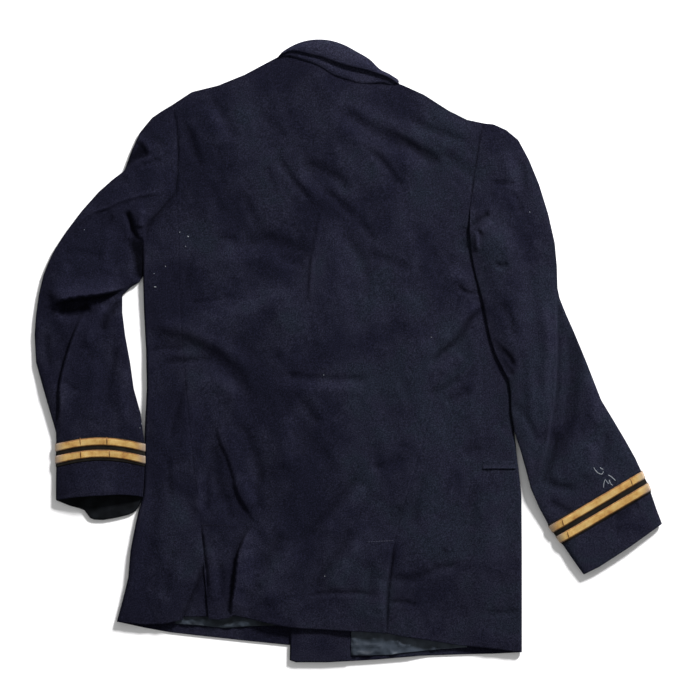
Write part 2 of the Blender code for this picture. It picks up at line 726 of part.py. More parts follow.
def cuff_rise(v, marks):
    """The sleeve stands up by the lace beneath it."""
    start = marks[7]
    end = marks[10]
    return CUFF_RISE * (1 - smooth((v - start) / (end - start)))


def ring(upper, lower, v, offset, part, base_height):
    """One loop round a sleeve at v, moved out from its outside by offset."""
    wide = upper.width(v)
    half = SLEEVE_HIGH / 2
    bend = half + offset
    places = []
    first = max(0.09, 1.3 * half * upper.slant(v, 0) / wide)
    last = 1 - max(0.09, 1.3 * half * upper.slant(v, 1) / wide)
    for step in (0.0, 0.14, 0.32, 0.5, 0.68, 0.86, 1.0):
        places.append((upper, first + (last - first) * step, 1.0, 0))
    for degrees in (50, 0, -50):
        places.append((upper if degrees >= 0 else lower, None, degrees, 1))
    for step in (1.0, 0.75, 0.5, 0.25, 0.0):
        places.append((lower, first + (last - first) * step, -1.0, 0))
    for degrees in (-50, 0, 50):
        places.append((upper if degrees >= 0 else lower, None, degrees, -1))
    loop = []
    for patch, u, level, end in places:
        if end == 0:
            x, y = patch.at([u], v)[0]
            height = half + level * bend
            if level > 0:
                height += SLEEVE_CROWN * np.sin(np.pi * u)
                height += max(float(folds(x, y, part)), 0.0)
        else:
            angle = np.radians(level)
            away = half - bend * np.cos(angle)
            share = away * patch.slant(v, 1 if end > 0 else 0) / wide
            x, y = patch.at([1 - share if end > 0 else share], v)[0]
            height = half + bend * np.sin(angle)
        loop.append((x, y, height + base_height(x, y)))
    return loop


def make_sleeve(side, rows, armhole, upper_cuff, under_cuff, support, arch=None):
    upper, lower = sleeve_patches(rows, armhole, upper_cuff, under_cuff, arch)
    marks = upper.marks

    def base(v):
        return lambda x, y: support(x, y) + cuff_rise(v, marks)

    outer = [ring(upper, lower, v, 0.0, side, base(v)) for v in marks]
    inner = [ring(upper, lower, v, -CLOTH, side, base(v)) for v in marks]
    shell("sleeve_" + side, np.asarray(outer), np.asarray(inner), "navy", True)

    backing_out = LACE_GAP + LACE_BACKING
    spread = BACKING_SPREAD / upper.length
    low = marks[2] - spread
    high = marks[5] + spread
    stations = [low, marks[2], marks[3], marks[4], marks[5], high]
    outer = [ring(upper, lower, v, backing_out, side, base(v)) for v in stations]
    inner = [ring(upper, lower, v, LACE_GAP, side, base(v)) for v in stations]
    shell("cuff_backing_" + side, np.asarray(outer), np.asarray(inner), "black", True)

    for label, first, last in (("lower", 2, 3), ("upper", 4, 5)):
        stations = [marks[first], marks[last]]
        outer = [ring(upper, lower, v, backing_out + LACE_GAP + LACE, side, base(v))
                 for v in stations]
        inner = [ring(upper, lower, v, backing_out + LACE_GAP, side, base(v)) for v in stations]
        shell("lace_" + label + "_" + side, np.asarray(outer), np.asarray(inner), "gold", True)


# Collar.

def collar_section(row):
    seam = np.array(row[0:3], float)
    crease = np.array(row[3:6], float)
    free = np.array(row[6:9], float)
    lift = np.array(row[9:12], float)
    reach = crease - seam
    reach = reach / np.linalg.norm(reach)
    lift = lift - reach * np.dot(lift, reach)
    lift = lift / np.linalg.norm(lift)
    centre = crease - reach * COLLAR_BEND
    path = [seam, (seam + centre - lift * COLLAR_BEND) / 2, centre - lift * COLLAR_BEND]
    for degrees in (-45, 0, 45):
        angle = np.radians(degrees)
        path.append(centre + COLLAR_BEND * (reach * np.cos(angle) + lift * np.sin(angle)))
    start = centre + lift * COLLAR_BEND
    path += [start, start + (free - start) * 0.35, start + (free - start) * 0.7, free]
    path = np.asarray(path)
    tangent = np.gradient(path, axis=0)
    tangent /= np.linalg.norm(tangent, axis=1)[:, None]
    axis = np.cross(reach, lift)
    normal = np.cross(tangent, axis)
    normal /= np.linalg.norm(normal, axis=1)[:, None]
    half = COLLAR_CLOTH / 2
    return path + normal * half, path - normal * half


def make_collar():
    sections = [collar_section(row) for row in COLLAR_ROWS]
    outer = np.asarray([section[0] for section in sections])
    inner = np.asarray([section[1] for section in sections])
    shell("collar", outer, inner, "navy", False)


# Small pieces.

def make_hem_strips():
    for name, paint, lower_edge, upper_left, upper_right in HEM_STRIPS:
        left = [lower_edge[0], upper_left]
        right = [lower_edge[-1], upper_right]
        patch = Patch(*matched(left, right, 2), list(lower_edge), [upper_left, upper_right], 2.0)
        count = max(4, int(abs(upper_right[0] - upper_left[0]) / 14))

        def low(x, y, lined=name):
            if lined == "lining_left":
                return left_front_base(x, y) + CLOTH + 0.3
            return right_front_base(x, y) + CLOTH + 0.3

        sheet(name, patch, even(7), even(count), low, lambda x, y: low(x, y) + LINING, paint)


def make_underlaps():
    for name, left_low, right_low, right_top, left_top in UNDERLAPS:
        patch = Patch([left_low, left_top], [right_low, right_top], [left_low, right_low],
                      [left_top, right_top])

        def low(x, y):
            return fronts_top(x, y) + 0.3 + LINING + 0.9

        sheet(name, patch, even(8), even(5), low, lambda x, y: low(x, y) + UNDERLAP, "navy")


def make_pocket():
    name, x0, y0, x1, y1 = POCKET
    patch = Patch([(x0, y0), (x0, y1)], [(x1, y0), (x1, y1)], [(x0, y0), (x1, y0)],
                  [(x0, y1), (x1, y1)])

    def low(x, y):
        return body_base(x, y) + CLOTH + 0.4

    sheet(name, patch, even(2), even(4), low, lambda x, y: low(x, y) + 1.0, "navy")


def make_buttons():
    count = 20
    for number, (x, y) in enumerate(BUTTONS, start=1):
        circle = [(x + BUTTON_RADIUS * np.cos(2 * np.pi * step / count),
                   y + BUTTON_RADIUS * np.sin(2 * np.pi * step / count))
                  for step in range(count)]
        prism(f"button_{number}", circle, 0.0, BUTTON_THICK, "brass")


def clear():
    for made in list(bpy.data.objects):
        bpy.data.objects.remove(made, do_unlink=True)


clear()
make_back()
make_side("side_left", FOLD_LEFT, SEAM_LEFT, UNDER_LEFT, HEM_SIDE_LEFT, ARMHOLE_LEFT,
          (-242, 222), (-263, 195), 1)
make_side("side_right", FOLD_RIGHT, SEAM_RIGHT, UNDER_RIGHT, HEM_SIDE_RIGHT, ARMHOLE_RIGHT,
          (168, 175), (186, 142), -1)
make_fronts()
make_sleeve("left", SLEEVE_LEFT_ROWS, ARM_LEFT, CUFF_LEFT_UPPER, CUFF_LEFT_UNDER,
            lambda x, y: 0.0, LACE_ARCH)
make_sleeve("right", SLEEVE_RIGHT_ROWS, ARM_RIGHT, CUFF_RIGHT, CUFF_RIGHT,
            lambda x, y: float(support_right(np.array([x]), np.array([y]))[0]))
make_collar()
prism("lapel_left", LAPEL_LEFT, 0.0, LAPEL, "navy")
prism("lapel_right", LAPEL_RIGHT, 0.0, LAPEL, "navy")
make_hem_strips()
make_underlaps()
make_pocket()
make_buttons()
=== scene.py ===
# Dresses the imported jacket: fine cloth, seams, creases, lace, stitching, lint, light and camera.
# Lengths are in millimetres in the tables, with +X to the wearer's right and +Y to the collar.

import bpy
import numpy as np
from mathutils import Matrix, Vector
from mathutils.bvhtree import BVHTree


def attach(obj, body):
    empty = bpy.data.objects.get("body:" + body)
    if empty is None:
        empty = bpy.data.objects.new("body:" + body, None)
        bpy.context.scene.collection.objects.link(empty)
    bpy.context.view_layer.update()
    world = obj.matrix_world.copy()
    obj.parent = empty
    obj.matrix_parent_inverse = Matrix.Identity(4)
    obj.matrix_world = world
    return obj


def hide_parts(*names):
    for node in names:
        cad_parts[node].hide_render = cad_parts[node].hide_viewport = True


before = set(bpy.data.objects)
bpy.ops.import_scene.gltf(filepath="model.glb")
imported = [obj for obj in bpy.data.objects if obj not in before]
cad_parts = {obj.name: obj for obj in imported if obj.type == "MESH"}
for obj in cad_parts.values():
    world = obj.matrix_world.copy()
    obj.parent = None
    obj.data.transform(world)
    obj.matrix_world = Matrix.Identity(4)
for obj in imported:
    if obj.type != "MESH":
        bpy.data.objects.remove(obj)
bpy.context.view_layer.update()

MM = 0.001
CLOTH = 2.4            # wool cloth with its interlining
LAYER_GAP = 0.6        # between two layers that lie on each other
LINING = 1.0
UNDERLAP = 1.5
SLACK = 1.5            # room under the back, which the troughs between its folds use up
FRONT_RISE = 2.9       # how far the fronts stand up over the lapels and buttons
OVERLAP_STEP = 3.0     # the right front lies this much higher where it crosses the left front
SLEEVE_HIGH = 7.6      # flattened sleeve, over both layers
SLEEVE_CROWN = 1.2     # how much the upper layer arches
LACE_BACKING = 0.4
LACE = 0.8
LACE_GAP = 0.3
CUFF_RISE = 1.8        # backing, lace and their gaps under the cuff
LAPEL = 2.3
COLLAR_CLOTH = 2.0
COLLAR_BEND = 1.5      # bend radius of the collar's crease, to mid cloth

# Mid point of the garment's bounding box in the tables, taken off every point.
MIDDLE_X = -1.0
MIDDLE_Y = -1.27

# Seams between the back and the side bodies, hem to armhole.
SEAM_LEFT = ((-196, -377), (-203, -300), (-207, -244), (-217, -168), (-227, -70), (-234, 14),
             (-238, 98), (-239, 168), (-242, 222))
SEAM_RIGHT = ((53, -396), (56, -336), (63, -267), (76, -217), (97, -147), (118, -70), (136, 0),
              (151, 70), (162, 133), (168, 175))

# Armholes, from the underarm fold up to the shoulder point.
ARMHOLE_LEFT = ((-288.5, 157), (-277, 178), (-263, 195), (-251, 210), (-242, 222), (-240, 240),
                (-239, 268), (-239, 295), (-242, 323), (-249, 342))
ARMHOLE_RIGHT = ((207, 132), (186, 142), (172, 156), (168, 175), (169, 200), (174, 238),
                 (180, 275), (185, 302), (190, 317))

# The outline of the body where the side bodies fold round to the front, hem to underarm.
FOLD_LEFT = ((-325, -380), (-316, -347), (-309, -318), (-306, -281), (-301, -255), (-295, -226),
             (-288, -205), (-286.5, -182), (-286, -153), (-286, -116), (-283, -52), (-284, 0),
             (-287, 56), (-288, 92), (-288, 123), (-288.5, 157))
FOLD_RIGHT = ((242, -423), (242, -350), (242, -280), (241.5, -203), (238.5, -175), (235, -147),
              (231, -113), (227, -56), (222, 14), (216, 70), (209, 118), (207, 132))

# Shoulder seams from the shoulder point to the neck point, and the neck seam between them.
SHOULDER_LEFT = ((-249, 342), (-220, 361), (-183, 370), (-146, 385), (-105, 407), (-95, 412))
SHOULDER_RIGHT = ((190, 317), (165, 322), (139, 335), (105, 357), (74, 371), (64, 374))
NECK = ((-95, 412), (-74, 412.5), (-56, 406), (-41, 399), (-20, 386), (-3, 381), (20, 375),
        (36, 374.5), (52, 376), (64, 374))

# Front edges from the hem corner to the break of the lapel and on to the neck point.
EDGE_LEFT = ((66, -420), (64, -320), (62, -220), (61, -130), (59, -40), (57, 70), (25, 140),
             (-2, 205), (-30, 268), (-63, 345), (-93, 410))
EDGE_RIGHT = ((-83, -434), (-81, -320), (-78, -200), (-75, -90), (-69, 70), (-36, 146),
              (-8, 210), (24, 284), (40, 320), (61, 371))

# Where the side bodies meet the fronts on the underside, hem to armhole.
UNDER_LEFT = ((-284, -389), (-268, -300), (-262, -226), (-247, -150), (-245, -52), (-246, 20),
              (-249, 90), (-258, 150), (-263, 195))
UNDER_RIGHT = ((200, -425), (202, -350), (202, -280), (200, -200), (194, -147), (188, -80),
               (185, -20), (180, 40), (176, 90), (186, 142))

# Hems.
HEM_BACK = ((-196, -376), (-181, -377), (-169, -375), (-161, -371), (-146, -374), (-118, -381),
            (-83, -388), (1, -393), (53, -396))
HEM_SIDE_RIGHT = ((242, -423), (197, -417), (155, -413), (113, -406), (71, -400), (53, -396))
HEM_FRONT_LEFT = ((-284, -389), (-251, -395), (-216, -399), (-143, -407), (-83, -413),
                  (0, -417), (66, -420))
HEM_FRONT_RIGHT = ((-83, -434), (-74, -437), (-31, -437), (6, -435), (39, -433), (99, -428),
                   (155, -426), (200, -425))

# Sleeves: one row across the arm each, from the armhole to the cuff's edge.
# Columns: outer edge x, y, inner edge x, y.
SLEEVE_LEFT_ROWS = (
    (-249.9, 342.6, -278.4, 177.0),
    (-264, 334, -280.6, 175.2),
    (-277, 325, -282.6, 173.4),
    (-294, 304, -284.6, 171.4),
    (-305, 279, -286.4, 169.0),
    (-315, 251, -288.0, 166.0),
    (-332, 238, -289.4, 161.5),
    (-351, 221, -290.4, 154),
    (-374, 195, -291.0, 141),
    (-395, 167, -291.6, 122),
    (-412, 141, -292.4, 104),
    (-421, 122, -297, 94),
    (-428, 104, -306, 88),
    (-434, 78, -317, 76),
    (-438, 50, -317, 52),
    (-440, 21, -313, 20),
    (-438, -17, -306, -18),
    (-428, -53, -301, -54),
    (-417, -91, -291.5, -88),
    (-410, -115, -289.2, -112),
    (-409.5, -131, -288.8, -131),
    (-409.5, -142, -288.6, -142),
    (-409.5, -148, -288.6, -148),
    (-409.5, -159, -288.6, -159),
    (-410, -188, -289.2, -183),
    (-410, -210, -291, -206),
)
SLEEVE_RIGHT_ROWS = (
    (190.8, 317, 168.8, 159),
    (202, 316, 169.4, 152),
    (220, 308, 170.1, 145),
    (237, 294, 171, 137),
    (252, 266, 172.4, 127),
    (266, 232, 174.6, 114),
    (279, 190, 178, 100),
    (288, 150, 183, 82),
    (291, 118, 188, 62),
    (291.5, 100, 193, 41),
    (292, 86, 199, 18),
    (295, 72, 207, -7),
    (303, 52, 217, -27),
    (315, 25, 225, -42),
    (332, -16, 228, -60),
    (353, -70, 228.8, -86),
    (370, -98, 232, -115),
    (386, -125, 240, -142),
    (396, -143, 247, -167),
    (401, -152, 254, -194),
    (405, -161, 266, -221),
    (409, -169.5, 279.5, -246),
    (413.5, -180, 286, -255),
    (417, -186, 290, -260.5),
    (421.5, -197, 297, -269.5),
    (430, -222, 313, -293),
    (438, -243, 328, -314),
)
CUFF_LEFT_UPPER = ((-410, -210), (-385, -206), (-363, -204), (-321, -202), (-298, -204),
                   (-291, -206))
CUFF_LEFT_UNDER = ((-410, -210), (-391, -218), (-372, -223), (-362, -237), (-346, -238),
                   (-328, -235), (-308, -230), (-299, -224), (-293.4, -213), (-291, -206))
CUFF_RIGHT = ((438, -243), (414, -260), (393, -275), (350, -303), (328, -314))
ARM_LEFT = ((-249.9, 342.6), (-243.1, 323), (-240.1, 295), (-240.1, 268), (-241.1, 240),
            (-243.3, 221.6), (-252.2, 209), (-264.4, 194), (-278.4, 177))
ARM_RIGHT = ((190.8, 317), (185.8, 302), (180.8, 275), (174.8, 238), (169.8, 200),
             (168.8, 175), (168.8, 159))

LACE_ARCH = (8.5, 12)  # the left lace bows up by this much on top, fading out by this row

# Plateau of the fronts over the lapels, the collar's leaves and the buttons.
# Columns: y, left limit, right limit of the full rise.
RISE_ROWS = ((-175, -70, 75), (60, -75, 75), (160, -90, 90), (250, -135, 125),
             (300, -160, 145), (420, -165, 145))
RISE_RAMP = 60
RISE_Y0 = -240
RISE_Y1 = -180

# Collar: one section each from the left leaf's end round the neck to the right leaf's end.
# Columns: seam edge x y z, crease x y z, free edge x y z, direction of the fall's side x y z.
COLLAR_ROWS = (
    (-60.0, 339.0, 4.3, -50.0, 343.0, 2.8, -112.0, 330.0, 1.3, 0.0, 0.0, -1.0),
    (-72.5, 368.0, 4.3, -61.0, 372.0, 2.8, -116.0, 364.0, 1.3, 0.0, 0.0, -1.0),
    (-84.0, 396.0, 4.3, -72.0, 400.0, 2.8, -115.0, 390.0, 1.3, 0.0, 0.0, -1.0),
    (-87.0, 407.0, 4.6, -81.0, 415.0, 3.2, -104.0, 403.0, 1.4, -0.2, 0.1, -1.0),
    (-90.0, 410.6, 6.6, -96.0, 412.0, 6.4, -101.0, 407.5, 5.6, -1.0, 0.1, -0.1),
    (-88.0, 412.6, 8.2, -94.5, 414.4, 8.6, -96.5, 412.4, 11.0, -0.4, 0.1, 1.0),
    (-82.0, 413.4, 8.5, -86.0, 420.4, 9.8, -88.0, 417.0, 12.0, -0.1, 0.1, 1.0),
    (-74.0, 412.2, 8.6, -73.5, 427.0, 10.3, -77.0, 418.2, 12.2, 0.0, 0.0, 1.0),
    (-56.0, 406.4, 8.6, -52.0, 432.6, 10.3, -53.5, 413.0, 12.2, 0.0, 0.0, 1.0),
    (-41.0, 400.0, 8.6, -32.0, 432.6, 10.3, -38.0, 409.4, 12.4, 0.0, 0.0, 1.0),
    (-20.0, 387.3, 8.6, -8.0, 426.0, 10.3, -14.5, 400.6, 13.2, 0.0, 0.0, 1.0),
    (-3.0, 381.8, 8.6, 10.0, 416.5, 10.3, 3.5, 395.8, 14.2, 0.0, 0.0, 1.0),
    (17.0, 375.4, 8.6, 29.0, 405.0, 10.3, 21.5, 391.8, 14.0, 0.0, 0.0, 1.0),
    (34.0, 375.4, 8.6, 43.0, 391.6, 10.3, 38.5, 386.6, 12.8, 0.1, 0.1, 1.0),
    (49.0, 376.2, 8.6, 57.5, 384.2, 10.3, 53.5, 381.6, 12.2, 0.2, 0.1, 1.0),
    (61.0, 371.5, 7.0, 68.5, 375.8, 6.6, 71.5, 370.0, 6.4, 1.0, 0.1, -0.1),
    (59.0, 368.5, 4.6, 54.0, 375.0, 3.1, 79.0, 363.5, 1.4, 0.2, 0.1, -1.0),
    (50.0, 353.0, 4.3, 40.0, 358.0, 2.8, 90.0, 346.0, 1.3, 0.0, 0.0, -1.0),
    (41.0, 331.0, 4.3, 31.0, 336.0, 2.8, 94.0, 320.0, 1.3, 0.0, 0.0, -1.0),
)

# Strips that show between the back's hem and the fronts' hems.
# Columns: name, lower edge points, upper left point, upper right point.
HEM_STRIPS = (
    ("facing_right", ((-81.5, -433), (-74, -435.8), (-31, -436), (2, -434)),
     (-79, -305), (2, -305)),
    ("lining_right", ((3, -427), (27, -427), (55, -426.5), (77, -423.5),
                      (99, -421.5), (134, -418), (165, -416)),
     (3, -305), (165, -305)),
    ("lining_left", ((-243, -383), (-206, -385.5), (-175, -389), (-139, -386.5),
                     (-99, -385)),
     (-243, -305), (-99, -305)),
)

# Vent underlaps: corners left bottom, right bottom, right top, left top.
UNDERLAPS = (
    ("vent_underlap_left", (-240, -373), (-182, -372), (-182, -252), (-236, -252)),
    ("vent_underlap_right", (30, -391), (86, -395), (90, -274), (34, -274)),
)

# The welt of the right hip pocket, on the outside of the side body.
POCKET = ("pocket_welt_right", 187, -166, 231, -155)

# Buttons on the left front, columns x, y.
BUTTONS = ((-58, 40), (-58, -50), (-58, -140), (38, 40), (38, -50), (38, -140))

# Curves and distances.

def lengths(points):
    """Share of a polyline's length at each of its points."""
    steps = np.hypot(*np.diff(np.asarray(points, float), axis=0).T)
    total = np.concatenate(([0.0], np.cumsum(steps)))
    return total / total[-1]


def along(points, shares):
    """Points of a polyline at shares of its length."""
    table = np.asarray(points, float)
    marks = lengths(table)
    return np.column_stack([np.interp(shares, marks, table[:, axis]) for axis in range(2)])


def piece_of(points, first, last):
    """The part of a polyline between two of its own points."""
    table = list(points)
    start = table.index(first)
    end = table.index(last)
    if start <= end:
        return table[start:end + 1]
    return table[end:start + 1][::-1]


def shifted(points, dx, dy):
    return [(x + dx, y + dy) for x, y in points]


def smooth(value):
    value = np.clip(value, 0.0, 1.0)
    return value * value * (3.0 - 2.0 * value)


def edge_x(points, y):
    """The x of an edge curve at height y."""
    table = sorted(points, key=lambda point: point[1])
    return np.interp(y, [point[1] for point in table], [point[0] for point in table])


# Patches in plan.

class Patch:
    """Plan of a panel: left and right edges by row, with a hem and a top curve bent into it."""

    def __init__(self, left, right, hem, top, hem_reach=5.0, top_reach=3.0, arch=None):
        self.left = np.asarray(left, float)
        self.right = np.asarray(right, float)
        steps = (np.hypot(*np.diff(self.left, axis=0).T)
                 + np.hypot(*np.diff(self.right, axis=0).T)) / 2
        total = np.concatenate(([0.0], np.cumsum(steps)))
        self.marks = total / total[-1]
        self.length = total[-1]
        self.hem = hem
        self.top = top
        self.hem_reach = hem_reach
        self.top_reach = top_reach
        self.arch = arch

    def edges(self, v):
        left = np.column_stack([np.interp(v, self.marks, self.left[:, axis]) for axis in range(2)])
        right = np.column_stack([np.interp(v, self.marks, self.right[:, axis])
                                 for axis in range(2)])
        return left, right

    def at(self, u, v):
        u = np.atleast_1d(np.asarray(u, float))
        v = np.atleast_1d(np.asarray(v, float)) * np.ones(len(u))
        u = u * np.ones(len(v))
        left, right = self.edges(v)
        point = left + (right - left) * u[:, None]
        inner = np.clip(u, 0, 1)
        low = along(self.hem, inner)
        low = low - (self.left[0] + (self.right[0] - self.left[0]) * inner[:, None])
        high = along(self.top, inner)
        high = high - (self.left[-1] + (self.right[-1] - self.left[-1]) * inner[:, None])
        point = point + low * ((1 - v) ** self.hem_reach)[:, None]
        if self.arch:
            rise, rows = self.arch
            marks = self.marks
            share = smooth(v / marks[2]) * smooth((marks[rows] - v) / (marks[rows] - marks[7]))
            point[:, 1] += rise * share * np.sin(np.pi * inner)
        return point + high * (v ** self.top_reach)[:, None]

    def slant(self, v, end):
        """How much further a distance from an edge is when it is taken along the row."""
        near = self.edges(np.array([max(v - 0.01, 0.0), min(v + 0.01, 1.0)]))[end]
        tangent = near[1] - near[0]
        left, right = self.edges(np.array([v]))
        row = right[0] - left[0]
        sine = abs(row[0] * tangent[1] - row[1] * tangent[0])
        sine = sine / (np.hypot(*row) * np.hypot(*tangent))
        return 1.0 / max(sine, 0.25)

    def width(self, v):
        left, right = self.edges(np.array([v]))
        return float(np.hypot(*(right - left)[0]))


def matched(first, second, count):
    """Two edge curves cut into the same number of rows."""
    shares = np.linspace(0, 1, count)
    return along(first, shares), along(second, shares)


STEP = 2.4             # spacing of the fine grids
THIN = 2.2             # thickness of the fine cloth
SEWN = 0.02            # half of what is left open along a sewn seam
FULLNESS = 1.6         # creases stand this many times their height in the table
SHARP = 4.5             # widest fold of the body that stays as it is
SOFTNESS = 1.25        # the body's wider folds are this many times as wide as in the table
BODY_LIFT = 1.8        # the loose back lies this much higher than in the CAD model
PIXEL = 1.4            # millimetres to one pixel of the photograph
PHOTO_MIDDLE = (349, 350)

